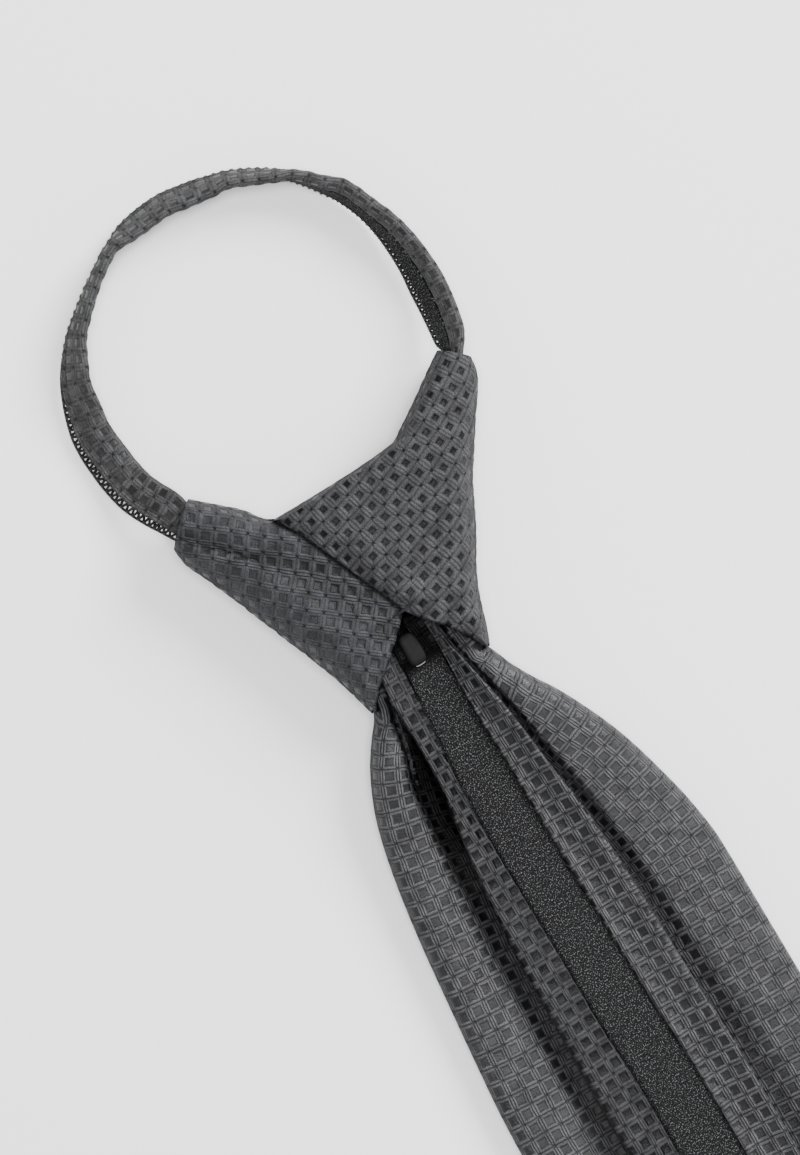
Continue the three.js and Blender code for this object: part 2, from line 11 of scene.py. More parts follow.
import bpy
import numpy as np
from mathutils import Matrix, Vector


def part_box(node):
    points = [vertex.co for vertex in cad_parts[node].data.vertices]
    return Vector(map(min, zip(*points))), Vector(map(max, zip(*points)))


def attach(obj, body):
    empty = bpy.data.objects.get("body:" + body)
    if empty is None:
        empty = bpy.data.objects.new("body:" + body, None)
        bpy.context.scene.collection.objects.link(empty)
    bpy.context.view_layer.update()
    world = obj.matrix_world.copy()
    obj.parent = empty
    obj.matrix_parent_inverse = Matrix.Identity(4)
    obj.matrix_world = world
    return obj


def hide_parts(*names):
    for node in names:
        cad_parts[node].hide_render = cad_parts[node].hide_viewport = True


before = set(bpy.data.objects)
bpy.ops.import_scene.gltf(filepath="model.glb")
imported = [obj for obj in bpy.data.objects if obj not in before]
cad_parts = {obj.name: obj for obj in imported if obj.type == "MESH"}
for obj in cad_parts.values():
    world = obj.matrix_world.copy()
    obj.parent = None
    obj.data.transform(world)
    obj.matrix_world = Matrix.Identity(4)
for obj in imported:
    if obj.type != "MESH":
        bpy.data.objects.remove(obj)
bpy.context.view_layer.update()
MM = 0.001
BLADE_LENGTH = 430  # mm from the knot's lower edge to the tip
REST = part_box("blade")[0].y / MM + BLADE_LENGTH  # origin to the knot's lower edge
KNOT_DEPTH = 20  # mm, the unit of the heights in the tables

# %% [markdown]
# Cloth has no straight lines, so each shape is a short table of measured places with a smooth
# line through them. A plain spline swings past its points and would put bumps on the edges. This
# one limits its slope at each point, so a flat stretch stays flat and a corner stays a corner.

# %% A smooth line through the places of a table


def curve(x, xs, ys):
    """The smooth line through (xs, ys) at x, which never swings past its points."""
    xs, ys = np.asarray(xs, float), np.asarray(ys, float)
    gap = np.diff(xs)
    steepness = np.diff(ys) / gap
    same_way = steepness[:-1] * steepness[1:] > 0  # false at a top or a dip, where the slope is 0
    before = np.where(same_way, steepness[:-1], 1)
    after = np.where(same_way, steepness[1:], 1)
    weight_before = 2 * gap[1:] + gap[:-1]
    weight_after = gap[1:] + 2 * gap[:-1]
    mean = (weight_before + weight_after) / (weight_before / before + weight_after / after)
    slope = np.concatenate([steepness[:1], np.where(same_way, mean, 0), steepness[-1:]])
    i = np.clip(np.searchsorted(xs, x) - 1, 0, len(xs) - 2)
    t, length = np.clip((x - xs[i]) / gap[i], 0, 1), gap[i]
    return (
        (1 + 2 * t) * (1 - t) ** 2 * ys[i] + t * (1 - t) ** 2 * length * slope[i]
        + t * t * (3 - 2 * t) * ys[i + 1] + t * t * (t - 1) * length * slope[i + 1]
    )


def spread(*stops):
    """Places from the first stop to the last: (start, step) pairs and then the end."""
    parts = [np.arange(a, b, s) for (a, s), (b, _) in zip(stops[:-1], stops[1:])]
    return np.concatenate([*parts, [stops[-1][0]]])


def smooth(t):
    """A soft step from 0 to 1 as t goes from 0 to 1."""
    t = np.clip(t, 0, 1)
    return t * t * (3 - 2 * t)


def mix(a, b, t):
    """The place a share t of the way from a to b."""
    return a + (b - a) * t


print("halfway up a smooth step:", curve(0.5, [0, 1, 2], [0, 1, 1]).round(3))

# %% [markdown]
# Each piece of cloth is one long skin. It has a ring of points at each place along its length,
# and the rings are joined with four-sided faces. Every corner also gets its place on the flat
# cloth in millimetres, as a UV map named weave. The woven pattern reads that map, so it bends
# round folds as real cloth does, and it has its true size.

# %% Build a skin from rings of points


def skin(name, points, weave):
    """A closed skin from rings of points and their places on the flat cloth, all in mm.

    points is rings x places x 3, and weave is rings x (places + 1) x 2.
    """
    rings, places = points.shape[:2]
    row = np.arange(rings - 1)[:, None] * places
    a, b = row + np.arange(places), row + (np.arange(places) + 1) % places
    quads = np.stack([a, b, b + places, a + places], -1).reshape(-1, 4)
    cloth_corners = np.stack([weave[:-1, :-1], weave[:-1, 1:], weave[1:, 1:], weave[1:, :-1]], 2)
    cloth_corners = cloth_corners.reshape(-1, 4, 2)
    flat_list = points.reshape(-1, 3)
    corner = flat_list[quads]
    face_way = np.cross(corner[:, 1] - corner[:, 0], corner[:, 2] - corner[:, 0])
    inside_out = (face_way * corner[:, 0]).sum() < 0
    caps = [np.arange(places)[::-1], np.arange(places) + (rings - 1) * places]
    if inside_out:
        quads, cloth_corners, caps = quads[:, ::-1], cloth_corners[:, ::-1], [c[::-1] for c in caps]
    place = flat_list * MM + np.array([0, REST * MM, 0])
    mesh = bpy.data.meshes.new(name)
    mesh.from_pydata(place.tolist(), [], quads.tolist() + [c.tolist() for c in caps])
    uv = np.zeros((len(mesh.loops), 2), np.float32)
    uv[: len(quads) * 4] = cloth_corners.reshape(-1, 2)
    mesh.uv_layers.new(name="weave").data.foreach_set("uv", uv.ravel())
    mesh.shade_smooth()
    piece = bpy.data.objects.new(name, mesh)
    bpy.context.scene.collection.objects.link(piece)
    print(f"{name}: {len(quads)} faces")
    return piece


def store(piece, name, shares):
    """Stores a share from 0 to 1 at each point of a piece, for its material to read."""
    layer = piece.data.attributes.new(name, "FLOAT", "POINT")
    layer.data.foreach_set("value", shares.ravel().astype(np.float32))
    print(piece.name, "has", int((shares > 0.5).sum()), "points mostly", name)


def length_along(points):
    """Distance along each row of points, from its first point."""
    steps = np.linalg.norm(np.diff(points, axis=-2), axis=-1)
    return np.concatenate([np.zeros(steps.shape[:-1] + (1,)), np.cumsum(steps, -1)], -1)


# %% [markdown]
# The cloth is a jacquard. Shiny satin squares sit 3.5 mm apart, and raised ribs of yarn run
# between them both ways. The yarns arch up between the crossings. The same rule is written
# twice: here in numbers, to lift the real surface of the knot, the tail bands and the neckband,
# and later in the material, which also draws the single yarns.

# %% The lattice of the weave
REPEAT = 3.5  # mm from one satin square to the next
OPEN = 0.60  # the square's share of the repeat at its corners, where the cloth lies flat
TIGHT = 0.56  # the same on the left wrap, the tail and the neckband
BIAS = 0.44  # the same on the right wrap, pulled on the bias so that the ribs crowd in
ROLLED = 0.60  # the same on the left band, whose roll stretches the cloth
BULGE = 0.13  # how much wider a rib is halfway between crossings
RELIEF = 0.2  # mm that a rib stands above the satin


def relief(u, v, square):
    """Height of the ribs over the satin squares, from 0 to 1, at places on the flat cloth."""
    a, b = np.abs(2 * ((u / REPEAT) % 1) - 1), np.abs(2 * ((v / REPEAT) % 1) - 1)
    ribs = []
    for rib, cross in ((a, b), (b, a)):
        arch = 1 - cross * cross
        off = (1 - rib) / (1 - square + BULGE * arch)
        ribs.append(np.sqrt(np.clip(1 - off * off, 0, 1)) * (0.2 + 0.8 * arch))
    return np.maximum(*ribs)


print("height of a rib between crossings:", relief(0.0, REPEAT / 2, OPEN))

# %% [markdown]
# The tail is the narrow end of the tie. It lies on the middle of the back: a woven zip tape
# with a folded band of tie cloth down each side. This table says where the edges of the tape and
# the bands run on the way down from the knot, as shares of the tail's half width, and how thick
# the bands are there.

# %% Where the tail's edges run
TAIL_HALF = 16  # mm, the unit of the tail's widths
FLARE = 100  # mm in which the gathered blade opens out, and the unit of every place down the tie
TAIL_LENGTH = 250  # mm
TAIL_COLUMNS = ("down", "left_out", "left_in", "right_in", "right_out", "swell")
TAIL_ROWS = np.array([
    (-0.13, -0.55, -0.27, 0.27, 0.39, 0.9), (-0.06, -0.59, -0.27, 0.29, 0.41, 1.4),
    (0.00, -0.63, -0.29, 0.28, 0.49, 1.6), (0.05, -0.61, -0.31, 0.27, 0.56, 1.7),
    (0.10, -0.60, -0.335, 0.27, 0.63, 1.7), (0.20, -0.61, -0.380, 0.29, 0.72, 1.6),
    (0.30, -0.70, -0.410, 0.30, 0.80, 1.5), (0.40, -0.78, -0.410, 0.31, 0.89, 1.45),
    (0.50, -0.83, -0.400, 0.32, 0.94, 1.4), (0.60, -0.87, -0.385, 0.34, 0.97, 1.35),
    (0.80, -0.89, -0.37, 0.38, 1.01, 1.3), (1.00, -0.90, -0.32, 0.44, 1.07, 1.3),
    (1.20, -0.90, -0.32, 0.45, 1.08, 1.3),
])


def tail_at(down, column):
    return curve(down, TAIL_ROWS[:, 0], TAIL_ROWS[:, TAIL_COLUMNS.index(column)])


def tail_reach(down, side, edge):
    """Distance in mm from the middle of the back to the tail's edge, out or in, on one side."""
    return np.abs(tail_at(down, ("left_" if side < 0 else "right_") + edge)) * TAIL_HALF


print("tail width 50 mm below the knot:", tail_reach(0.5, -1, "out") + tail_reach(0.5, 1, "out"))

# %% [markdown]
# The blade is gathered where it leaves the knot, and opens to its full width lower down. This
# table follows its two edges, how far they lift off the table, the crest of the fold on each
# side, and the valley between them in which the tail lies. The edges are shares of the way from
# the throat to the full width, and the heights are shares of the knot's depth.

# %% Where the blade's edges run
BLADE_HALF = 40  # mm
BLADE_THICKNESS = 4.1  # mm
THROAT_HALF = 13.0  # mm
TIP_START, TIP_END = 3.9, 4.3  # flare lengths down where the sides turn in, and where they meet
STRAIGHT = 1.2  # flare lengths down where the blade's sides are nearly straight
BLADE_COLUMNS = ("down", "left", "right", "lift", "crest_left", "crest_right", "valley")
BLADE_ROWS = np.array([
    (-0.14, -0.020, -0.040, 0.200, 0.385, 0.375, 0.315),
    (-0.06, 0.010, -0.010, 0.175, 0.380, 0.370, 0.295),
    (0.00, 0.045, 0.020, 0.160, 0.375, 0.365, 0.275), (0.014, 0.070, 0.045, 0.130, 0.385, 0.375, 0.270),
    (0.05, 0.170, 0.100, 0.105, 0.395, 0.395, 0.245), (0.10, 0.290, 0.200, 0.075, 0.385, 0.375, 0.210),
    (0.15, 0.380, 0.320, 0.050, 0.345, 0.335, 0.175), (0.20, 0.450, 0.420, 0.035, 0.290, 0.290, 0.140),
    (0.30, 0.540, 0.585, 0.015, 0.215, 0.215, 0.085), (0.40, 0.600, 0.700, 0.005, 0.165, 0.165, 0.045),
    (0.50, 0.645, 0.790, 0.000, 0.135, 0.130, 0.020), (0.60, 0.680, 0.840, 0.000, 0.115, 0.105, 0.010),
    (0.75, 0.730, 0.850, 0.000, 0.095, 0.085, 0.005), (0.90, 0.770, 0.858, 0.000, 0.085, 0.075, 0.000),
    (1.20, 0.795, 0.870, 0.000, 0.075, 0.070, 0.000), (3.90, 1.000, 1.000, 0.000, 0.045, 0.045, 0.000),
    (4.30, -0.356, -0.356, 0.000, 0.000, 0.000, 0.000),
])


def blade_at(down, column):
    value = curve(down, BLADE_ROWS[:, 0], BLADE_ROWS[:, BLADE_COLUMNS.index(column)])
    straight = np.interp(down, BLADE_ROWS[:, 0], BLADE_ROWS[:, BLADE_COLUMNS.index(column)])
    return np.where(down > STRAIGHT, straight, value)


def blade_edge(down, side):
    """Distance in mm from the middle of the back to the blade's edge on one side."""
    share = blade_at(down, "left" if side < 0 else "right")
    return THROAT_HALF + (BLADE_HALF - THROAT_HALF) * share


def valley(down):
    """Height of the cloth under the tail."""
    return BLADE_THICKNESS + blade_at(down, "valley") * KNOT_DEPTH


print("width 50 mm below the knot:", (blade_edge(0.5, -1) + blade_edge(0.5, 1)).round(1), "mm")

# %% [markdown]
# The blade is the broad front of the tie, seen from behind: one piece of cloth whose sides are
# folded to the middle of the back, where a slit stays open under the tail. Real tie makers fold
# it on an interlining, so its edges are round and not creased. Each ring of this skin therefore
# starts at the middle of the front, goes round the right fold and over the right panel to the
# slit, comes back inside the cloth to the left of the slit, and closes over the left panel.

# %% Rings of the blade
WALL = 1.2  # mm of cloth with its interlining
SLIT = 0.6  # mm from the middle of the back to the edge of a panel
FOOT_GAP = 0.4  # mm from the tail to the foot of a panel's slope
CREST_LEFT, CREST_RIGHT = 0.45, 0.80  # share of a panel that stays up at the crest
FOLD_ROUND = 0.45  # radius of the outer fold, as a share of the height there
FOLD_LIMIT = 0.34  # and its greatest share of the panel's width
CLEFT_FLOOR = 2.6  # mm from the front of the blade up to the bottom of the cleft
PANEL_SWELL = 0.35  # mm that a panel bulges
# the deep cleft left of the tail: down, width in mm, depth share
CLEFT_ROWS = np.array([
    (-0.20, 0.6, 0.0), (-0.02, 0.8, 0.0), (0.05, 1.6, 0.65), (0.11, 2.6, 0.9),
    (0.165, 4.4, 1.0), (0.21, 5.0, 1.0), (0.25, 4.8, 1.0), (0.30, 4.4, 0.85),
    (0.36, 4.0, 0.5), (0.50, 3.6, 0.15), (0.70, 3.4, 0.0), (5.00, 3.4, 0.0),
])
SAG = 2.0  # mm that the left panel leans down towards the tail, lower down
NEAR = 1.15  # flare lengths down which the camera sees the blade and tail
downs = spread((-0.14, 0.007), (NEAR, 0.03), (TIP_START, 0.01), (TIP_END, 0))
# points of a half ring: panel's slope, its top, the outer fold and the front
DIVE, FLAT, FOLD, FRONT = 34, 34, 16, 22


def blade_half(down, side, inset):
    """Outer line of one half of a ring, from the slit to the middle of the front: x, z arrays."""
    edge = blade_edge(down, side)
    tip = smooth((down - TIP_START) / (TIP_END - TIP_START))
    foot = np.minimum(tail_reach(down, side, "out") + FOOT_GAP, edge * 0.6)
    foot = mix(foot, SLIT * 1.5, tip)
    crest = blade_at(down, "crest_left" if side < 0 else "crest_right")
    crest = BLADE_THICKNESS + crest * KNOT_DEPTH - inset
    floor = blade_at(down, "lift") * KNOT_DEPTH + inset
    low = valley(down) - inset
    depth = np.clip(FOLD_ROUND * (crest - floor), 1.0, FOLD_LIMIT * (edge - foot))
    turn = edge - depth
    top_share = mix(CREST_LEFT, CREST_RIGHT, (side > 0) * smooth(1.4 - down))
    shoulder = mix(turn, foot, top_share)
    wall = edge - inset
    half = curve(down, CLEFT_ROWS[:, 0], CLEFT_ROWS[:, 1]) / 2
    cleft = curve(down, CLEFT_ROWS[:, 0], CLEFT_ROWS[:, 2]) * (side < 0)
    bottom = floor + CLEFT_FLOOR - 2 * inset
    sag = SAG * (side < 0) * smooth((down - 0.2) / 0.4) * smooth((3.6 - down) / 2)
    columns = []
    for t in np.linspace(0, 1, DIVE):
        x = mix(SLIT, shoulder, t)
        z = mix(low, crest, smooth((x - foot) / (shoulder - foot)))
        z = z - sag * smooth((foot + 10 - x) / 10)
        in_cleft = np.exp(-(((x - foot - half) / half) ** 4))
        columns.append((x, mix(z, bottom, cleft * in_cleft)))
    for t in np.linspace(0, 1, FLAT)[1:]:
        swell = PANEL_SWELL * np.sin(math.pi * t) * smooth(2 - down) * (inset == 0)
        columns.append((mix(shoulder, turn, t), crest + swell))
    middle, half_height = (crest + floor) / 2, (crest - floor) / 2
    for t in np.linspace(0, math.pi, FOLD)[1:]:
        columns.append((turn + (wall - turn) * math.sin(t), middle + half_height * math.cos(t)))
    for t in np.linspace(1, 0, FRONT)[1:]:
        columns.append((turn * t, floor + 0 * turn))
    x, z = np.array([c[0] for c in columns]).T, np.array([c[1] for c in columns]).T
    return side * x, z


print("half a ring has", blade_half(downs, 1, 0)[0].shape[1], "points")

# %% [markdown]
# The cloth of a tie is often cut on the bias, but here the rows of squares follow the blade's
# outer folds, as they do in the photo. So each point's place on the flat cloth is measured from
# the fold inwards, and turned as the fold turns.

# %% Weave and skin of the blade


def edge_weave(line, side):
    """Places on the flat cloth of one half of the blade. Its threads run along the outer fold."""
    run = length_along(line[..., [0, 2]]) + SLIT
    at_fold = run[:, DIVE + FLAT + FOLD // 2 - 2, None]
    regular = downs[:, None] > STRAIGHT
    fold_at_straight = at_fold[np.argmax(downs > STRAIGHT)]
    edge = blade_edge(downs, side)
    lean = np.where(downs > STRAIGHT, 0, np.arctan(np.gradient(edge, downs * FLARE)))
    lean = (lean * smooth((STRAIGHT - downs) / 0.2))[:, None]
    steps = np.diff(downs) * FLARE / np.cos(lean[1:, 0])
    along = np.concatenate([[0], np.cumsum(steps)])[:, None]
    inward = at_fold - run
    u = np.where(regular, at_fold, fold_at_straight) - inward * np.cos(lean)
    return np.stack([side * u, along - inward * np.sin(lean)], -1), run


def blade_rings():
    lines = []
    for side, inset in ((1, 0), (1, WALL), (-1, WALL), (-1, 0)):
        x, z = blade_half(downs, side, inset)
        lines.append(np.stack([x, np.repeat(-downs[:, None] * FLARE, x.shape[1], 1), z], -1))
    outer_right, inner_right, inner_left, outer_left = lines
    right_weave, right_run = edge_weave(outer_right, 1)
    left_weave, left_run = edge_weave(outer_left, -1)
    ring = [outer_right[:, ::-1], inner_right[:, ::4], inner_left[:, ::-4], outer_left[:, :-1]]
    weave = [right_weave[:, ::-1], right_weave[:, ::4], left_weave[:, ::-4], left_weave]
    return np.concatenate(ring, 1), np.concatenate(weave, 1), right_run + left_run


blade_points, blade_weave, cut_width = blade_rings()
blade = skin("blade_cloth", blade_points, blade_weave)

# %% [markdown]
# Deep in the cleft beside the tail and in the hollow of the knot, the cloth is painted near black,
# and beside the tail on the right panel it is painted a little darker: painted shade, where the
# folds fall into shadow. A number on each point of the mesh says how much painted shade there is,
# from 0 to 1, and the cloth's material reads it, so that the dark fades out softly along the fold.

# %% Painted shade in the cleft and the knot's hollow
# down, how much painted shade lies beside the tail
PAINTED_SHADE_ROWS = np.array([
    (-0.20, 0.0), (0.02, 0.25), (0.10, 1.0), (0.30, 1.0), (0.42, 0.8),
    (0.60, 0.6), (1.20, 0.4), (3.00, 0.0), (4.30, 0.0),
])
DIP_DARK = 0.5  # share of painted shade where the right panel dips beside the tail
DIP_WIDTH = 8.0  # mm that this reaches from the tail
HOLLOW_FADE = 0.03  # flare lengths in which the painted shade of the knot's hollow fades out
UNDER_TAPE = 2  # mm that it reaches past the tape


def painted_shade_share():
    """How much painted shade lies at each point of the blade."""
    shade_share = np.zeros(blade_points.shape[:2])
    left_start = blade_points.shape[1] - (DIVE + FLAT + FOLD + FRONT - 4)
    right_start = FLAT + FOLD + FRONT - 3
    in_knot = smooth((HOLLOW_FADE - downs) / HOLLOW_FADE)[:, None]
    for side, first in ((-1, left_start), (1, right_start)):
        dive = slice(first, first + DIVE)
        x = side * blade_points[:, dive, 0]
        foot = tail_reach(downs, side, "out")[:, None] + FOOT_GAP
        hollow = in_knot * smooth(tail_reach(downs, side, "in")[:, None] + UNDER_TAPE - x)
        if side < 0:
            width = curve(downs, CLEFT_ROWS[:, 0], CLEFT_ROWS[:, 1])[:, None]
            strength = curve(downs, PAINTED_SHADE_ROWS[:, 0], PAINTED_SHADE_ROWS[:, 1])[:, None]
            across = (x - foot) / width  # 0 to 1 inside the cleft
            beside_tail = smooth((1.6 - across) / 1.1) * smooth((across + 1.0) / 0.3) * strength
        else:
            fade = smooth((3.0 - downs) / 2)[:, None]
            beside_tail = DIP_DARK * smooth((foot + DIP_WIDTH - x) / DIP_WIDTH) * fade
        # painted shade: near black in the cleft and the knot's hollow, lighter where the right panel dips
        shade_share[:, dive] = np.maximum(hollow, beside_tail)
    return shade_share


store(blade, "painted_shade", painted_shade_share())

# %% [markdown]
# Each tail band is a skin too. Its ring is a flat base and a shaped top. The left band is a soft
# roll with a flat stitched strip beside the tape. The right band starts as a low stitched strip
# beside the tape and slopes up to a sharp crest near its outer edge. A short table for each says
# how high it is across its width. The tape between them is a plain thin strip.

# %% Tail bands and tape
# share of the band's width, height as a share of the band's thickness
LEFT_TOP = [
    (0, 0.50), (0.04, 0.92), (0.12, 1.05), (0.26, 1.0), (0.50, 0.80),
    (0.68, 0.66), (0.76, 0.46), (0.80, 0.44), (0.97, 0.44), (1, 0.3),
]
RIGHT_TOP = [
    (0, 0.34), (0.05, 0.50), (0.12, 0.50), (0.18, 0.36), (0.34, 0.42), (0.55, 0.60),
    (0.74, 0.84), (0.88, 1.02), (0.94, 1.04), (0.985, 0.86), (1, 0.4),
]
BAND_HEIGHT = 2.7  # mm where swell is 1
TAIL_GAP = 0.3  # mm between the blade and the tail, and between a band and the tape
BAND_PLACES, BASE_PLACES = 46, 5  # points over a band and under it
TAPE_THICKNESS = 1.0
TAPE_DIP = 6  # mm that the tape sinks into the knot
DIP_LENGTH = 0.13  # flare lengths in which it sinks
TAPE_DARK = (-0.015, 0.035)  # flare lengths down where the painted shade on the tape starts, and in which it turns black
tail_downs = spread((-0.13, 0.006), (NEAR, 0.03), (TAIL_LENGTH / FLARE, 0))


def tail_skin(name, x, z, u):
    """A strip of the tail, whose threads run along it."""
    y = np.repeat(-tail_downs[:, None] * FLARE, x.shape[1], 1)
    v = np.repeat(-y[:, :1], u.shape[1], 1)
    return skin(name, np.stack([x, y, z], -1), np.stack([u, v], -1))


def tail_band(name, top, start_column, end_column):
    start, end = (tail_at(tail_downs, c)[:, None] * TAIL_HALF for c in (start_column, end_column))
    seat = valley(tail_downs)[:, None] + TAIL_GAP
    height = BAND_HEIGHT * tail_at(tail_downs, "swell")[:, None]
    over, under = np.linspace(0, 1, BAND_PLACES), np.linspace(0, 1, BASE_PLACES)
    x = np.concatenate([mix(start, end, over), mix(end, start, under)], 1)
    z = np.concatenate([seat + height * curve(over, *np.array(top).T), seat + 0 * under], 1)
    closed = np.stack([x, z], -1)[:, [*range(x.shape[1]), 0]]
    u = length_along(closed) + start
    down = tail_downs[:, None] * FLARE
    z[:, :BAND_PLACES] += RELIEF * relief(u[:, :BAND_PLACES], down, OPEN)
    return tail_skin(name, x, z, u)


left_band = tail_band("tail_left_band_cloth", LEFT_TOP, "left_out", "left_in")
right_band = tail_band("tail_right_band_cloth", RIGHT_TOP, "right_in", "right_out")


def tail_tape():
    left, right = (tail_at(tail_downs, c)[:, None] * TAIL_HALF for c in ("left_in", "right_in"))
    left, right = left + TAIL_GAP, right - TAIL_GAP
    t = np.linspace(0, 1, 14)
    x = np.concatenate([mix(left, right, t), mix(right, left, t)], 1)
    dip = TAPE_DIP * smooth(-tail_downs[:, None] / DIP_LENGTH - 0.1)
    low = valley(tail_downs)[:, None] + TAIL_GAP - dip
    z = np.concatenate([low + TAPE_THICKNESS + 0 * t, low + 0 * t], 1)
    piece = tail_skin("tail_tape_weave", x, z, np.concatenate([x, x[:, :1]], 1))
    # painted shade: the tape is painted black inside the knot's hollow
    store(piece, "painted_shade", smooth((TAPE_DARK[0] - tail_downs[:, None]) / TAPE_DARK[1]) + 0 * x)
    return piece


tape = tail_tape()

# %% [markdown]
# The knot is two wraps of the same cloth round a hollow. Each wrap starts as a closed tube at
# the mouth of its wing, where the neckband goes in, and opens into a C lower down. The long side
# of the C is a fold along the outside of the knot. Its top edge is free: the right wrap's edge
# lies over the left wrap and makes the seam, and below the seam the two edges part and show the
# slider in the dark hollow. So one ring is the outside of the C and then its inside, one cloth
# thickness in.

# %% Tables for the wraps
KNOT_HALF = 40  # mm, the unit of the places across
KNOT_HEIGHT = 46  # mm, the unit of the places up
# fold end x, y, free end x, y, low, high, radius of the fold, 1 for a closed tube
LEFT_WRAP = np.array([
    (-0.832, 1.091, -0.635, 1.259, 0.18, 0.71, 0.16, 1), (-0.818, 1.013, -0.530, 1.178, 0.14, 0.75, 0.22, 1),
    (-0.772, 0.922, -0.420, 1.093, 0.09, 0.79, 0.33, 1), (-0.725, 0.833, -0.335, 1.004, 0.06, 0.82, 0.42, 1),
    (-0.675, 0.730, -0.100, 0.913, 0.04, 0.85, 0.50, 0), (-0.622, 0.617, 0.100, 0.804, 0.03, 0.865, 0.54, 0),
    (-0.560, 0.487, 0.225, 0.652, 0.025, 0.87, 0.54, 0), (-0.500, 0.361, 0.275, 0.478, 0.025, 0.87, 0.50, 0),
    (-0.445, 0.239, 0.275, 0.304, 0.03, 0.85, 0.40, 0), (-0.398, 0.109, 0.250, 0.130, 0.04, 0.79, 0.20, 0),
    (-0.363, 0.000, 0.225, 0.000, 0.06, 0.63, 0.17, 0),
])
RIGHT_WRAP = np.array([
    (1.015, 1.178, 0.880, 1.278, 0.18, 0.70, 0.13, 1), (1.003, 1.109, 0.768, 1.211, 0.13, 0.76, 0.17, 1),
    (0.945, 1.015, 0.643, 1.133, 0.08, 0.82, 0.22, 1), (0.880, 0.933, 0.513, 1.057, 0.04, 0.87, 0.30, 1),
    (0.835, 0.870, 0.438, 1.017, 0.02, 0.90, 0.32, 1), (0.775, 0.791, 0.200, 0.996, 0.00, 0.93, 0.35, 1),
    (0.708, 0.700, -0.075, 0.987, 0.00, 0.94, 0.37, 1), (0.650, 0.598, -0.315, 0.983, 0.00, 0.94, 0.37, 1),
    (0.600, 0.509, -0.230, 0.880, 0.00, 0.94, 0.37, 0), (0.550, 0.430, -0.160, 0.746, 0.00, 0.94, 0.37, 0),
    (0.485, 0.330, -0.090, 0.607, 0.00, 0.93, 0.35, 0), (0.433, 0.226, -0.018, 0.465, 0.00, 0.92, 0.30, 0),
    (0.400, 0.135, 0.038, 0.359, 0.01, 0.88, 0.24, 0), (0.375, 0.061, 0.040, 0.174, 0.03, 0.78, 0.19, 0),
    (0.345, 0.000, 0.040, 0.000, 0.05, 0.62, 0.17, 0),
])
# where the free edges run below the seam, x and y in mm
LEFT_EDGE = np.array([(-14.0, -1.0), (-12.6, 1.4), (-10.0, 4.3), (-5.7, 7.9), (-1.4, 11.8), (1.8, 15.4)])
RIGHT_EDGE = np.array([(13.0, -1.0), (12.6, 0.7), (10.4, 5.0), (7.1, 9.3), (4.3, 12.1), (2.1, 15.0)])

# %% [markdown]
# The ring of a wrap is worked out along its own section, from the fold end to the free end: the
# top from the free edge back to the fold, the round fold, and the underside. The left wrap has a
# soft furrow from its wing to the throat, in which the satin squares keep their dark colour. The
# rest of it is pressed smooth, as is a narrow zone along the right wrap's fold, and there the
# satin is painted nearly as light as the ribs: a painted sheen, as if it faced the light. That
# share is stored on the points, with the painted shade of the edges, the insides and the seam, for
# the material to read.

# %% Rings of a wrap
TOP, ROUND, UNDER = 96, 26, 22  # points over the top, round the fold and under it
CROWN = 1.6  # mm that the cloth bulges between its two ends
CROWN_GROWS = 14  # mm of width over which the bulge grows
FLAT_BELOW = 0.2  # share of that width up to which a narrow section stays flat
EDGE_RADIUS = 1.4  # mm that a free edge is rounded
WING_RADIUS = 3.4  # mm that the edge of a wing's mouth is rounded
FREE_DROP = 1.0  # mm that a free edge turns down
THINNEST = 0.8  # mm of cloth across, where a wrap ends
# where the left wrap's furrow runs from its wing to the throat, as shares of its width
FURROW_LINE, FURROW_WIDTH = (0.34, 0.60), 0.13
FURROW_DEPTH = 0.8  # mm
PRESSED_AND_SHEEN = 0.8  # how smooth the pressed cloth is, and how much painted sheen its satin gets
PRESSED_AND_SHEEN_EDGE = 0.15  # share of the right wrap's width, from its fold, that is pressed and gets painted sheen
LIP_SHADE = 1.6  # mm of a free edge that is painted dark, a painted shade where it turns under
LIP_ROUND = 0.45  # mm that the edge of the cloth bulges


def free_share(a, b, edge, side):
    """Share of each section from its fold end to where the free edge cuts it."""
    t = np.linspace(0, 1, 400)
    x, y = (mix(a[:, i : i + 1], b[:, i : i + 1], t) for i in (0, 1))
    cut = side * (x - np.interp(y, edge[:, 1], edge[:, 0])) > 0
    cut &= y < edge[-1, 1]
    return np.where(cut.any(1), t[cut.argmax(1)], 1.0)


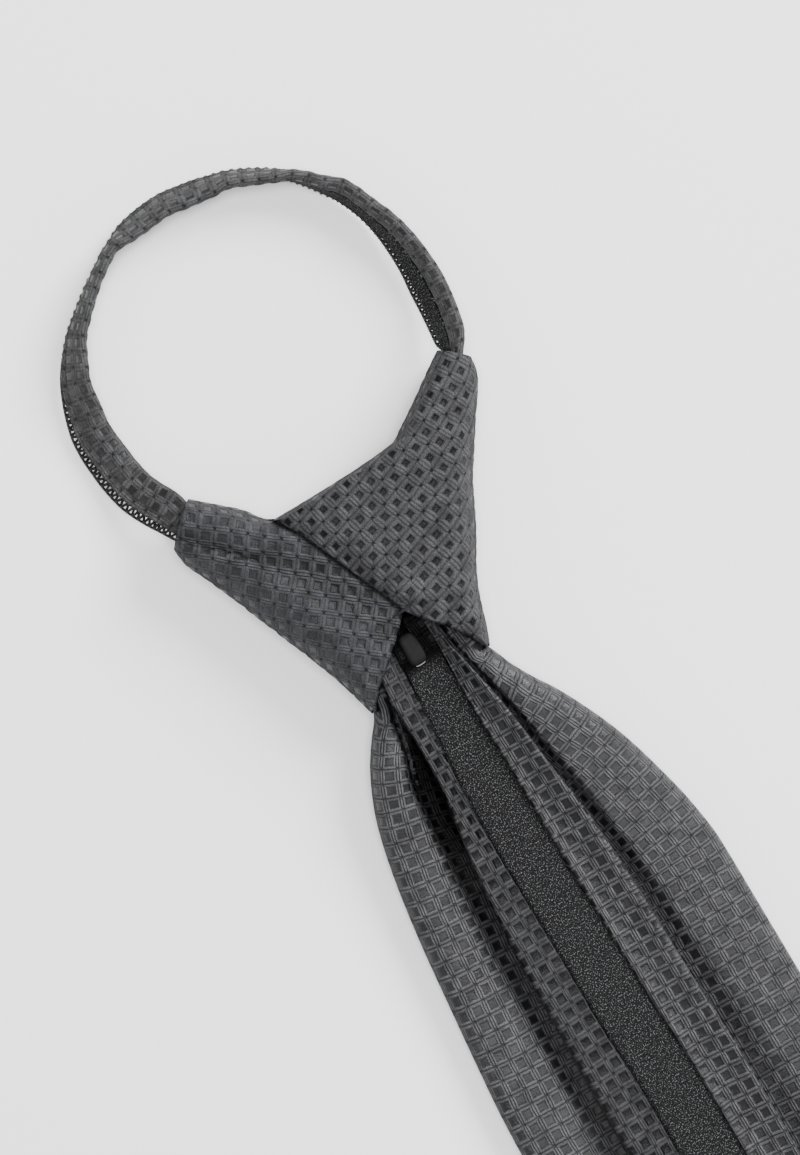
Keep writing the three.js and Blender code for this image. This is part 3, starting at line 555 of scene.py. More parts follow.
def wrap_rings(rows, steps, edge, side, ridge, furrow):
    """Sections of a wrap: ends and ways on the table, outlines, flat places and stored shares."""
    t = np.linspace(0, len(rows) - 1, steps)
    cols = [curve(t, np.arange(len(rows)), rows[:, i]) for i in range(8)]
    a = np.stack([cols[0] * KNOT_HALF, cols[1] * KNOT_HEIGHT], -1)
    b = np.stack([cols[2] * KNOT_HALF, cols[3] * KNOT_HEIGHT], -1)
    low, high, bend = (cols[i][:, None] * KNOT_DEPTH for i in (4, 5, 6))
    closed = cols[7][:, None]
    full = np.linalg.norm(b - a, axis=1)[:, None]
    along = (b - a) / full
    end = full * free_share(a, b, edge, side)[:, None]
    furrow_at = mix(*FURROW_LINE, t / t[-1])[:, None]
    keep = end[:, 0] > THINNEST
    a, along, full, end, low, high, bend, closed, furrow_at = (
        value[keep] for value in (a, along, full, end, low, high, bend, closed, furrow_at)
    )
    bend = np.minimum(bend, end * 0.8)
    middle, half_height = (low + high) / 2, (high - low) / 2
    tip_radius = mix(EDGE_RADIUS, WING_RADIUS, closed)

    def rounded(x, stop):
        """How far the end is rounded off, from 0 to 1."""
        near = np.clip(1 - (stop - x) / np.minimum(tip_radius, stop * 0.5), 0, 1)
        return 1 - np.sqrt(1 - near**2)

    def in_furrow(x):
        """1 along the furrow, fading to 0 beside it."""
        return np.exp(-(((x / full - furrow_at) / FURROW_WIDTH) ** 2))

    x_top = mix(end, bend, np.linspace(0, 1, TOP))
    w = np.clip((x_top - bend) / (full - bend), 0, 1)
    grown = smooth(full / CROWN_GROWS - FLAT_BELOW)
    crown = CROWN * np.sin(math.pi * w**ridge) * grown - furrow * in_furrow(x_top) * grown
    drop = mix(FREE_DROP, half_height, closed)
    z_top = high + crown - rounded(x_top, end) * (drop + crown)
    angle = np.linspace(0, math.pi, ROUND)[1:]
    x_fold, z_fold = bend - bend * np.sin(angle), middle + half_height * np.cos(angle)
    x_under = mix(bend, full, np.linspace(0, 1, UNDER)[1:])
    z_under = low + rounded(x_under, full) * half_height * closed
    x = np.concatenate([x_top, x_fold, x_under], 1)
    z = np.concatenate([z_top, z_fold, z_under], 1)
    outer = np.stack([x, z], -1)
    tangent = np.gradient(outer, axis=1)
    tangent /= np.linalg.norm(tangent, axis=-1, keepdims=True)
    inward = np.stack([-tangent[..., 1], tangent[..., 0]], -1)
    if np.mean(inward[:, TOP // 2, 1]) > 0:
        inward = -inward
    run = length_along(outer)
    unrolled = x[:, TOP // 2, None] - (run - run[:, TOP // 2, None])
    flat = a[:, None, :] + along[:, None, :] * unrolled[..., None]
    # painted shade along the free edges, where the cloth turns under
    lip = smooth((LIP_SHADE - run) / LIP_SHADE) * (1 - closed)
    # outside the furrow, or beyond the zone by the fold, the cloth is pressed and its satin gets painted
    # sheen
    unpressed_without_sheen = in_furrow(x) if furrow else smooth(x / full / PRESSED_AND_SHEEN_EDGE)
    return a, along, outer, inward, tangent, flat, lip, unpressed_without_sheen


def beside(places, line):
    """Distance from each place to a line of points, x and y in mm."""
    nearest = np.full(places.shape[:-1], np.inf)
    for start, stop in zip(line[:-1], line[1:]):
        way = stop - start
        t = np.clip(((places - start) @ way) / (way @ way), 0, 1)
        nearest = np.minimum(nearest, np.linalg.norm(places - start - t[..., None] * way, axis=-1))
    return nearest


SEAM_LINE = RIGHT_WRAP[7:, 2:4] * [KNOT_HALF, KNOT_HEIGHT]  # the right wrap's edge, on the left one
SEAM_SHADE = 1.0  # mm of the left wrap beside this edge that gets a painted shadow


def wrap_skin(name, rows, steps, edge, side, ridge, furrow, square, to_weave):
    """One wrap. side is 1 for the left one, whose free edge faces right, and -1 for the right one."""
    rings = wrap_rings(rows, steps, edge, side, ridge, furrow)
    a, along, outer, inward, tangent, flat, lip, unpressed_without_sheen = rings
    weave = to_weave(flat)
    proud = outer - inward * (RELIEF * relief(weave[..., 0], weave[..., 1], square))[..., None]
    inner = (outer + inward * WALL)[:, ::-3]
    lip_end = (outer[:, -1:] + inner[:, :1]) / 2 + tangent[:, -1:] * LIP_ROUND
    lip_start = (outer[:, :1] + inner[:, -1:]) / 2 - tangent[:, :1] * LIP_ROUND
    ring = np.concatenate([proud, lip_end, inner, lip_start], 1)
    place = a[:, None, :] + along[:, None, :] * ring[..., :1]
    inner_weave = weave[:, ::-3]
    weave = np.concatenate([weave, weave[:, -1:], inner_weave, weave[:, :1], weave[:, :1]], 1)
    piece = skin(name, np.concatenate([place, ring[..., 1:]], -1), weave)
    # painted shade: each wrap's inside and free edges are painted dark, and the left wrap gets a painted
    # shadow along the right wrap's edge
    shade_share = np.ones(ring.shape[:2])
    shade_share[:, : lip.shape[1]] = lip
    if side > 0:
        seam_shade = smooth((SEAM_SHADE - beside(place[:, :TOP], SEAM_LINE)) / SEAM_SHADE)
        shade_share[:, :TOP] = np.maximum(shade_share[:, :TOP], seam_shade)
    store(piece, "painted_shade", shade_share)
    # pressed cloth: fainter gaps between yarns, and a painted sheen on its satin
    pressed_and_sheen = np.ones(ring.shape[:2]) * PRESSED_AND_SHEEN
    pressed_and_sheen[:, : unpressed_without_sheen.shape[1]] = PRESSED_AND_SHEEN * (1 - unpressed_without_sheen)
    store(piece, "pressed_and_sheen", pressed_and_sheen)
    return piece


# %% [markdown]
# Each wrap shows the lattice of squares turned its own way, because it is cloth that was led
# round the knot. On the left wrap the rows run straight, at 52 degrees. On the right wrap they
# bend, and rise towards the wing.

# %% Both wraps


def turned(degrees):
    """The lattice turned on the cloth, counter-clockwise."""
    c, s = math.cos(math.radians(degrees)), math.sin(math.radians(degrees))
    return lambda p: np.stack([p[..., 0] * c + p[..., 1] * s, -p[..., 0] * s + p[..., 1] * c], -1)


BEND_CENTRE = (-38.7, 165.0)  # the right wrap's rows of squares are arcs about this point
BEND_RADIUS = 127.0


def bent(p):
    """The lattice bent so that its rows rise towards the right wing."""
    dx, dy = p[..., 0] - BEND_CENTRE[0], p[..., 1] - BEND_CENTRE[1]
    return np.stack([BEND_RADIUS * np.arctan2(dx, -dy), BEND_RADIUS - np.hypot(dx, dy)], -1)


left_wrap = wrap_skin(
    "knot_left_wrap_cloth", LEFT_WRAP, steps=170, edge=LEFT_EDGE, side=1,
    ridge=1.1, furrow=FURROW_DEPTH, square=TIGHT, to_weave=turned(52),
)
right_wrap = wrap_skin(
    "knot_right_wrap_cloth", RIGHT_WRAP, steps=210, edge=RIGHT_EDGE, side=-1,
    ridge=1.3, furrow=0.0, square=BIAS, to_weave=bent,
)

# %% [markdown]
# The neckband is tie cloth folded round the zip's tape, with half of a nylon coil along one
# edge. It is stiff across and soft along, so it twists as it goes round: the coil lies outwards
# on the left, the band stands on its edge at the top, and the coil lies inwards on the right.
# The table gives that as a radius and a tilt at each angle, and the section is turned by it.

# %% Stations round the neck loop
LOOP_CENTRE = (2.0, KNOT_HEIGHT + 34.0)  # mm from the middle of the knot's lower edge
LOOP_RADIUS = 38.0  # mm
BAND, BAND_THICKNESS = 7.4, 2.4  # mm
NECK_TAPE, COIL = 3.6, 1.4  # mm of tape across, and the coil's outer diameter
COIL_GAP = 0.5  # mm between the tape and the coil
# angle, radius share, tilt, rise, size of the section
NECK_ROWS = np.array([
    (-40, 1.124, 104, 0.196, 0.75), (-33, 1.129, 106, 0.196, 0.85),
    (-28, 1.101, 124, 0.180, 1), (-20, 1.062, 131, 0.075, 1),
    (-12, 1.033, 134, 0.020, 1), (-4, 1.016, 127, 0, 1), (4, 1.004, 121, 0, 1), (12, 0.996, 113, 0, 1),
    (20, 0.989, 106, 0, 1), (28, 0.989, 105, 0, 1), (36, 0.968, 95, 0, 1), (44, 0.962, 88, 0, 1),
    (52, 0.947, 74, 0, 1), (60, 0.934, 67, 0, 1), (68, 0.928, 65, 0, 1), (76, 0.912, 55, 0, 1),
    (84, 0.911, 51, 0, 1), (92, 0.923, 52, 0, 1), (100, 0.926, 51, 0, 1), (108, 0.934, 57, 0, 1),
    (116, 0.939, 76, 0, 1), (124, 0.933, 76, 0, 1), (132, 0.937, 72, 0, 1), (140, 0.951, 67, 0, 1),
    (148, 0.976, 60, 0, 1), (156, 0.993, 48, 0, 1), (164, 1.009, 41, 0, 1), (172, 1.012, 28, 0, 1),
    (180, 1.024, 20, 0, 1), (188, 1.025, 13, 0.010, 1),
    (196, 1.035, 11, 0.050, 1), (204, 1.045, 11, 0.130, 1),
    (212, 1.044, 13, 0.240, 1), (220, 1.071, 16, 0.297, 0.85), (227, 1.092, 16, 0.297, 0.75),
])
NECK_HALF = (BAND + NECK_TAPE * 0.2 + COIL_GAP + COIL) / 2
HALF_THICKNESS = BAND_THICKNESS / 2
TAPE_START = BAND * 0.57 - NECK_HALF
TAPE_STOP = TAPE_START + NECK_TAPE
COIL_CENTRE = TAPE_STOP + COIL_GAP + COIL / 2


def neck_path(angles):
    """Centre, way to the coil, way to the outer face and size at each angle round the loop."""
    columns = [curve(angles, NECK_ROWS[:, 0], NECK_ROWS[:, i]) for i in (1, 2, 3, 4)]
    reach, tilt, lifted, size = columns
    tilt, turn = np.radians(tilt), np.radians(angles)
    edge_height = COIL_CENTRE * np.sin(tilt) + HALF_THICKNESS * np.abs(np.cos(tilt))
    height = edge_height + COIL / 2 + lifted * KNOT_DEPTH
    x = LOOP_CENTRE[0] + reach * LOOP_RADIUS * np.cos(turn)
    y = LOOP_CENTRE[1] + reach * LOOP_RADIUS * np.sin(turn)
    centre = np.stack([x, y, height], -1)
    way = np.gradient(centre, axis=0)
    way[:, 2] = 0
    way /= np.linalg.norm(way, axis=1, keepdims=True)
    out = np.stack([way[:, 1], -way[:, 0], 0 * tilt], -1)
    up = np.array([0.0, 0, 1])
    c, s = np.cos(tilt)[:, None], np.sin(tilt)[:, None]
    return centre, out * c - up * s, out * s + up * c, size[:, None]


STATIONS = 440
neck_angles = np.linspace(NECK_ROWS[0, 0], NECK_ROWS[-1, 0], STATIONS)
centre, to_coil, to_face, size = neck_path(neck_angles)
neck_run = length_along(centre[None])[0]
print("neckband length:", neck_run[-1].round(1), "mm")


def place_section(section):
    """Section points (rings x places x 2) set on the stations."""
    scaled = section * size[:, None]
    return centre[:, None] + to_coil[:, None] * scaled[..., :1] + to_face[:, None] * scaled[..., 1:]


# %% [markdown]
# The cloth of the neckband is wrapped round the tape and stitched beside the coil. The seam
# draws a groove into it, and the narrow strip between the seam and the edge puckers. Both are
# real shape here, added to the ring of each station along its outward way.

# %% Cloth of the neckband
STRIP = 1.9  # mm of puckered cloth beside the coil
PUCKER = 1.75  # mm from one pucker to the next
PUCKER_HEIGHT = 0.22
GROOVE_DEPTH, GROOVE_WIDTH = 0.55, 0.28
STRIP_DROP = 0.25  # mm that the strip lies lower than the rest
NECK_RELIEF = 0.6 * RELIEF  # the band is pressed, so its weave stands lower


def neck_cloth():
    t = HALF_THICKNESS
    edge = TAPE_STOP - 0.1
    arc = np.linspace(-math.pi / 2, math.pi / 2, 14)
    under = [(u, -t) for u in np.linspace(TAPE_START - 0.5, -NECK_HALF + t, 16)[:-1]]
    fold = [(-NECK_HALF + t - t * math.cos(g), t * math.sin(g)) for g in arc]
    face = [(u, t) for u in np.linspace(-NECK_HALF + t, edge - 0.4, 40)[1:]]
    lip = [(edge, t - 0.45), (edge - 0.3, 0.35)]
    back = [(u, 0.3) for u in np.linspace(edge - 1, TAPE_START - 0.5, 8)]
    section = np.array(under + fold + face + lip + back)
    ring = np.repeat(section[None], len(neck_run), 0)
    u = length_along(ring)
    u -= u[:, len(under) + 7, None]
    v = np.repeat(neck_run[:, None], u.shape[1], 1)
    outside = slice(0, len(under) + len(fold) + len(face))
    tangent = np.gradient(section, axis=0)
    tangent /= np.linalg.norm(tangent, axis=1, keepdims=True)
    outward = np.stack([-tangent[:, 1], tangent[:, 0]], -1)
    seam = edge - STRIP
    across = ring[..., 0]
    on_face = (ring[..., 1] > 0.9 * t) * 1.0
    groove = GROOVE_DEPTH * np.exp(-(((across - seam) / GROOVE_WIDTH) ** 2)) * on_face
    strip = smooth((across - seam) / 0.5) * on_face
    uneven = 0.6 * np.sin(v / 7.0)
    pucker = strip * PUCKER_HEIGHT * np.sin(2 * math.pi * v / PUCKER + uneven)
    lift = NECK_RELIEF * relief(u, v, TIGHT) * (1 - strip) - groove + pucker - STRIP_DROP * strip
    ring[:, outside] += (outward * lift[..., None])[:, outside]
    weave = np.stack([np.concatenate([u, u[:, -1:]], 1), np.concatenate([v, v[:, :1]], 1)], -1)
    return skin("neckband_cloth_folded", place_section(ring), weave)


neck = neck_cloth()


def neck_tape():
    t = HALF_THICKNESS
    wide = np.linspace(TAPE_START, TAPE_STOP, 12)
    section = np.array([(u, -t) for u in wide] + [(u, TAPE_THICKNESS - t) for u in wide[::-1]])
    ring = np.repeat(section[None], len(neck_run), 0)
    u = np.concatenate([section[:, 0], section[:1, 0]])
    v = np.repeat(neck_run[:, None], len(u), 1)
    weave = np.stack([np.repeat(u[None], len(neck_run), 0), v], -1)
    return skin("neckband_tape_weave", place_section(ring), weave)


neck_tape_piece = neck_tape()

# %% [markdown]
# A zip coil is one nylon wire wound round and round, sewn to the edge of the tape. Light shows
# between its turns. A thread along a flattened helix gives that, where a solid rod would not.
# A second thread along the rim is the row of heads at the outside of the turns.

# %% Coil


def thread(name, runs, radius, sides):
    """Round threads as one piece, each through its own points in mm."""
    data = bpy.data.curves.new(name, "CURVE")
    data.dimensions = "3D"
    data.bevel_depth = radius * MM
    data.bevel_resolution = sides
    data.use_fill_caps = True
    for run in runs:
        spline = data.splines.new("POLY")
        place = run * MM + np.array([0, REST * MM, 0])
        spline.points.add(len(place) - 1)
        spline.points.foreach_set("co", np.concatenate([place, np.ones((len(place), 1))], 1).ravel())
    piece = bpy.data.objects.new(name, data)
    bpy.context.scene.collection.objects.link(piece)
    print(f"{name}: {sum(len(s.points) for s in data.splines)} points")
    return piece


PITCH = 1.4  # mm from one turn to the next
WIRE = 0.3  # radius of the nylon wire
POINTS_A_TURN = 14
TURN_WIDTH, TURN_HEIGHT = 0.72, 0.42  # half sizes of the flattened turn, in mm
WIRE_LEVEL = TAPE_THICKNESS / 2 - HALF_THICKNESS  # level with the middle of the tape
COIL_INSET, RIM_OUT = 0.35, 0.42  # mm in to the middle of the turns, and out to their heads
turns = neck_run[-1] / PITCH
helix = np.linspace(0, turns, int(turns * POINTS_A_TURN))
spots = np.interp(helix * PITCH, neck_run, neck_angles)
coil_centre, coil_way, coil_face, coil_size = neck_path(spots)
swing = 2 * math.pi * helix[:, None]
coil_u = COIL_CENTRE - COIL_INSET + TURN_WIDTH * np.cos(swing)
coil_v = WIRE_LEVEL + TURN_HEIGHT * np.sin(swing)
coil_points = coil_centre + (coil_way * coil_u + coil_face * coil_v) * coil_size
rim_centre, rim_way, rim_face, rim_size = neck_path(neck_angles)
rim_offset = rim_way * (COIL_CENTRE + RIM_OUT) + rim_face * WIRE_LEVEL
rim_points = rim_centre + rim_offset * rim_size
coil = thread("neckband_coil_wire", [coil_points, rim_points], WIRE, 2)

# %% [markdown]
# Where the free edges of the wraps part, a few sewing stitches hold them together. Three threads
# side by side do for them. They hang a little, and bow up over the cloth.

# %% Bar stitch at the knot's point
STITCH_START, STITCH_END = -0.6, 4.2  # mm across
STITCH_PLACE, STITCH_HEIGHT = 15.35, 18.9  # mm above the knot's lower edge, and above the table
THREAD = 0.09  # mm radius of the sewing thread
stitch_lines = []
for k in range(3):
    across = np.linspace(STITCH_START, STITCH_END, 12)
    bow = np.sin(math.pi * (across - STITCH_START) / (STITCH_END - STITCH_START))
    up_the_tie = STITCH_PLACE + 0.11 * k + 0.12 * across - 0.35 * bow
    stitch_lines.append(np.stack([across, up_the_tie, STITCH_HEIGHT + 0.5 * bow], -1))
stitches = thread("knot_bar_stitch", stitch_lines, THREAD, 1)

# %% [markdown]
# The slider shows only as a smooth dark cap with a bright metal edge under it. Both are low
# rounded blocks. Their places and heights come from the solids, and the plate lies a little
# further down the tie, so that its edge shows.

# %% Slider
SLIDER_WIDTH, SLIDER_LENGTH = 4.0, 7.2
PLATE_SHOWS = 0.25  # mm of the plate's edge below the cap
cap_low, cap_high = (v.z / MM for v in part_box("slider_cap"))
plate_low, plate_high = (v.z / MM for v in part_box("slider_plate"))
slider_x = sum(v.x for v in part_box("slider_cap")) / 2 / MM
slider_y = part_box("slider_cap")[0].y / MM - REST


def rounded_block(name, y, width, low, high):
    """A block with rounded sides and ends. The powers say how square its outline and section are."""
    along = np.sin(np.linspace(-math.pi / 2, math.pi / 2, 40))
    half = width / 2 * (1 - np.abs(along) ** 4.5) ** 0.28 + 0.01
    angle = np.linspace(0, 2 * math.pi, 48, endpoint=False)
    c, s = np.cos(angle), np.sin(angle)
    ring_x = np.sign(c) * np.abs(c) ** 0.55
    ring_z = np.sign(s) * np.abs(s) ** 0.7
    thick = (high - low) / 2 * (0.35 + 0.65 * (1 - np.abs(along) ** 4) ** 0.5)
    x = slider_x + half[:, None] * ring_x
    y = np.repeat((y + SLIDER_LENGTH / 2 * (1 + along))[:, None], len(angle), 1)
    points = np.stack([x, y, (low + high) / 2 + thick[:, None] * ring_z], -1)
    return skin(name, points, np.concatenate([points[..., :2], points[:, :1, :2]], 1))


cap = rounded_block("slider_cap_painted", slider_y, SLIDER_WIDTH, cap_low, cap_high)
plate = rounded_block(
    "slider_plate_metal", slider_y - PLATE_SHOWS, SLIDER_WIDTH * 0.8, plate_low, plate_high
)

# %% [markdown]
# Materials next. A material is a few nodes joined by links, so two small helpers come first:
# one turns the sRGB hex of a colour picker to the linear light that Blender works in, the other
# adds any node with its settings and its links.

# %% Helpers for materials


def linear(hex_colour):
    """An sRGB colour such as 4e4e50 as linear RGBA."""
    parts = [int(hex_colour[i : i + 2], 16) / 255 for i in (0, 2, 4)]
    return [c / 12.92 if c <= 0.04045 else ((c + 0.055) / 1.055) ** 2.4 for c in parts] + [1.0]


def node(tree, kind, inputs=(), out=0, **settings):
    """Adds one node with its settings, sets or links its inputs, and returns one of its outputs."""
    made = tree.nodes.new("ShaderNode" + kind)
    for key, value in settings.items():
        setattr(made, key, value)
    for key, value in inputs.items() if isinstance(inputs, dict) else enumerate(inputs):
        if isinstance(value, bpy.types.NodeSocket):
            tree.links.new(value, made.inputs[key])
        else:
            made.inputs[key].default_value = value
    return made.outputs[out]


def new_material(name):
    """A new material, its nodes, its shader, and the helper above bound to the nodes."""
    material = bpy.data.materials.new(name)
    material.use_nodes = True
    tree = material.node_tree
    return material, tree, tree.nodes["Principled BSDF"], partial(node, tree)


print("mid grey of the cloth in linear light:", [round(c, 3) for c in linear("505052")[:3]])

# %% [markdown]
# The pattern of the cloth is worked out from each point's place on the flat cloth. Woven rows are
# never dead straight, so a slow noise first moves each place by a fraction of a millimetre. Then
# two numbers say how near it is to the middle line of a rib, one for each way the ribs run.

# %% Places in the weave
DRIFT = 0.7  # mm that the rows wander


def weave_places(add):
    """The place on the flat cloth, the same drifted, and for both ways 1 on a rib's middle line."""
    flat = add("UVMap", uv_map="weave")
    wander = add("TexNoise", {"Vector": flat, "Scale": 0.12, "Detail": 1.0}, "Color")
    wander = add("VectorMath", (wander, (0.5, 0.5, 0.5)), operation="SUBTRACT")
    wander = add("VectorMath", {0: wander, "Scale": DRIFT}, operation="SCALE")
    drifted = add("VectorMath", (flat, wander), operation="ADD")
    on_lines = []
    for axis in ("X", "Y"):
        share = add("SeparateXYZ", (drifted,), axis)
        share = add("Math", (share, REPEAT), operation="DIVIDE")
        share = add("Math", (share,), operation="FRACT")
        share = add("Math", (share, 2.0, -1.0), operation="MULTIPLY_ADD")
        on_lines.append(add("Math", (share,), operation="ABSOLUTE"))
    return flat, drifted, *on_lines


# %% [markdown]
# The tie cloth is a polyester jacquard, woven in two systems of yarn. Its ribs are raised,
# twisted yarns that scatter light, so they get a mid grey and a high roughness, with thin dark
# gaps between the yarns. Real yarns are about 0.15 mm thick, too fine for this render. Three to
# a rib one way and two the other, 0.5 mm apart and more, is what the eye makes out, and that is
# drawn. This helper makes the nodes for the ribs that run one way.

# %% One set of ribs
RIB_STOPS = (0.94, 1.04)  # half widths from the middle of a rib to where the satin starts
RIB_DIVES = (0.02, 0.5)  # how the arch of a rib fades in from the crossing


def rib_set(add, square, rib, cross, waves, swing, gap_depth, light):
    """Where the ribs are, how high and how light. rib and cross are 1 on a rib's middle line."""
    cross_squared = add("Math", (cross, cross), operation="MULTIPLY")
    arch = add("Math", (1.0, cross_squared), operation="SUBTRACT")
    half = add("Math", (arch, BULGE, 1 - square), operation="MULTIPLY_ADD")
    off = add("Math", (1.0, rib), operation="SUBTRACT")
    off = add("Math", (off, half), operation="DIVIDE")
    off_squared = add("Math", (off, off), operation="MULTIPLY")
    on_rib = add("MapRange", (off, *RIB_STOPS, 1.0, 0.0), interpolation_type="SMOOTHSTEP")
    angle = add("Math", (off, waves), operation="MULTIPLY")
    wave = add("Math", (angle,), operation="COSINE")
    wave = add("Math", (wave, swing, 0.5), operation="MULTIPLY_ADD")
    gap = add("Math", (wave, 2.0), operation="POWER")
    gap = add("Math", (gap, gap_depth), operation="MULTIPLY")
    yarn = add("Math", (1.0, gap), operation="SUBTRACT")
    ends = add("Math", (off_squared, -0.25, arch), operation="MULTIPLY_ADD")
    ends = add("MapRange", (ends, *RIB_DIVES), interpolation_type="SMOOTHSTEP")
    raised = add("Math", (ends, 0.85, 0.15), operation="MULTIPLY_ADD")
    raised = add("Math", (on_rib, raised), operation="MULTIPLY")
    round_top = add("Math", (off_squared, -0.5, 1.0), operation="MULTIPLY_ADD")
    furrowed = add("Math", (yarn, 0.3, 0.7), operation="MULTIPLY_ADD")
    height = add("Math", (round_top, furrowed), operation="MULTIPLY")
    height = add("Math", (raised, height), operation="MULTIPLY")
    lit = add("Math", (on_rib, ends), operation="MULTIPLY")
    lit = add("Math", (lit, yarn), operation="MULTIPLY")
    return on_rib, height, add("Math", (lit, light), operation="MULTIPLY")


# %% [markdown]
# The squares between the ribs are satin: floats of bright filament yarn lying side by side. They
# mirror a light overhead and turn dark when they tilt away from it, so they get a dark colour
# and a low roughness. No two squares shine alike, and where the cloth is marked pressed they are
# painted nearly as light as the ribs, a painted sheen in place of the satin's reflection.

# %% Satin squares
PAINTED_SATIN_SHEEN = 0.55  # brightness of the painted sheen on pressed satin, as a share of the ribs'


def satin_squares(add, flat, drifted, pressed_and_sheen, satin_colour, bright):
    """Colour of the satin. Each square has its own sheen, and so has each patch of about 14 mm."""
    cell = add("VectorMath", {0: drifted, "Scale": 1 / REPEAT}, operation="SCALE")
    cell = add("VectorMath", (cell,), operation="FLOOR")
    chance = add("TexWhiteNoise", {"Vector": cell}, "Value", noise_dimensions="2D")
    chance = add("MapRange", (chance, 0.0, 1.0, 0.65, 1.35), interpolation_type="SMOOTHSTEP")
    slow = add("TexNoise", {"Vector": flat, "Scale": 0.07, "Detail": 1.0}, "Fac")
    slow = add("MapRange", (slow, 0.38, 0.62, 0.5, 1.7), interpolation_type="SMOOTHSTEP")
    sheen = add("Math", (chance, slow), operation="MULTIPLY")
    squares = add("VectorMath", {0: linear(satin_colour)[:3], "Scale": sheen}, operation="SCALE")
    # painted sheen: pressed satin is painted nearly as light as the ribs
    smoothed = [PAINTED_SATIN_SHEEN * c for c in linear(bright)[:3]] + [1.0]
    return add("Mix", {0: pressed_and_sheen, 6: squares, 7: smoothed}, 2, data_type="RGBA")


# %% [markdown]
# Now the cloth itself. The satin is laid between the ribs, fine fibres and larger patches vary
# the tone of both, and the painted shade takes colour and gloss away, by the share stored on the
# points. The yarns also stand up a little as bump. Gloss falls off towards the edges of a fold,
# where the yarns of real cloth turn away and scatter.

# %% Jacquard
PAINTED_SHADE_DARK = 0.86  # how much darker the painted shade makes the cloth
YARN_HEIGHT = 0.35  # mm of bump
RIB_ROUGH, SATIN_ROUGH = 0.62, 0.3
RIB_GLOSS = 0.1
POLYESTER_IOR = 1.45  # a little under solid polyester, because air lies between the fibres


def jacquard(name, square, dark, bright, satin_colour, gloss, lines_along, lines_across, knots):
    """The cloth. square is the satin's share of the repeat, and gloss its specular level.

    The lines are how dark the gaps between yarns are, and knots how light the crossings are.
    """
    material, tree, shader, add = new_material(name)
    flat, drifted, a, b = weave_places(add)
    pressed_and_sheen = add("Attribute", out="Fac", attribute_name="pressed_and_sheen")
    painted_shade = add("Attribute", out="Fac", attribute_name="painted_shade")

    # three crisp yarns run along the tie, and two softer ones run across it
    crisp = add("Math", (pressed_and_sheen, -0.5, 1.0), operation="MULTIPLY_ADD")
    along_gaps = add("Math", (crisp, lines_along), operation="MULTIPLY")
    across_gaps = add("Math", (crisp, lines_across), operation="MULTIPLY")
    on_a, height_a, lit_a = rib_set(add, square, a, b, 3 * math.pi, -0.5, along_gaps, 1.0)
    on_b, height_b, lit_b = rib_set(add, square, b, a, 2 * math.pi, 0.5, across_gaps, 0.85)
    on_ribs = add("Math", (on_a, on_b), operation="MAXIMUM")
    satin = add("Math", (1.0, on_ribs), operation="SUBTRACT")
    crossing = add("Math", (a, b), operation="MINIMUM")
    crossing = add("MapRange", (crossing, 0.84, 0.93, 0.0, knots), interpolation_type="SMOOTHSTEP")
    lit = add("Math", (lit_a, lit_b), operation="MAXIMUM")
    lit = add("Math", (lit, crossing), operation="MAXIMUM")
    rib_colour = add("Mix", {0: lit, 6: linear(dark), 7: linear(bright)}, 2, data_type="RGBA")
    squares = satin_squares(add, flat, drifted, pressed_and_sheen, satin_colour, bright)
    colour = add("Mix", {0: satin, 6: rib_colour, 7: squares}, 2, data_type="RGBA")

    grain = add("TexNoise", {"Vector": flat, "Scale": 3.2, "Detail": 3.0}, "Fac")
    patch = add("TexNoise", {"Vector": flat, "Scale": 0.3, "Detail": 2.0}, "Fac")
    fibres = add("MapRange", (grain, 0.25, 0.75, 0.55, 1.5), interpolation_type="SMOOTHSTEP")
    patch = add("MapRange", (patch, 0.25, 0.75, 0.7, 1.3), interpolation_type="SMOOTHSTEP")
    # painted shade: colour and gloss fall by the share stored where the cloth lies in shade
    unshaded = add("Math", (painted_shade, -PAINTED_SHADE_DARK, 1.0), operation="MULTIPLY_ADD")
    shade = add("Math", (fibres, patch), operation="MULTIPLY")
    shade = add("Math", (shade, unshaded), operation="MULTIPLY")
    colour = add("VectorMath", {0: colour, "Scale": shade}, operation="SCALE")

    height = add("Math", (height_a, height_b), operation="MAXIMUM")
    height = add("Math", (grain, 0.35, height), operation="MULTIPLY_ADD")
    bump = add("Bump", {"Strength": 1.0, "Distance": YARN_HEIGHT * MM, "Height": height})
    rough = (satin, 0.0, 1.0, RIB_ROUGH, SATIN_ROUGH)
    rough = add("MapRange", rough, interpolation_type="SMOOTHSTEP")
    level = (satin, 0.0, 1.0, RIB_GLOSS, gloss)
    level = add("MapRange", level, interpolation_type="SMOOTHSTEP")
    level = add("Math", (level, unshaded), operation="MULTIPLY")
    facing = add("LayerWeight", {"Blend": 0.3}, "Facing")
    facing = add("MapRange", (facing, 0.2, 0.8, 1.0, 0.1), interpolation_type="SMOOTHSTEP")
    level = add("Math", (level, facing), operation="MULTIPLY")
    shader.inputs["IOR"].default_value = POLYESTER_IOR
    shader.inputs["Specular IOR Level"].default_value = gloss / 2
    tree.links.new(colour, shader.inputs["Base Color"])
    tree.links.new(rough, shader.inputs["Roughness"])
    tree.links.new(bump, shader.inputs["Normal"])
    tree.links.new(level, shader.inputs["Specular IOR Level"])
    print(name, "has", len(tree.nodes), "nodes")
    return material


# %% [markdown]
# The same cloth looks different where it is drawn tight, pulled on the bias, rolled or pressed,
# as the knot, the bands and the neckband are. So there are five finishes of it. They differ in
# the size of the squares, the depth of the gaps between yarns, and how light the satin is. The
# left wrap, the right wrap and the left band also get darker ribs and satin than the blade:
# painted shade, for cloth that turns away from the light.

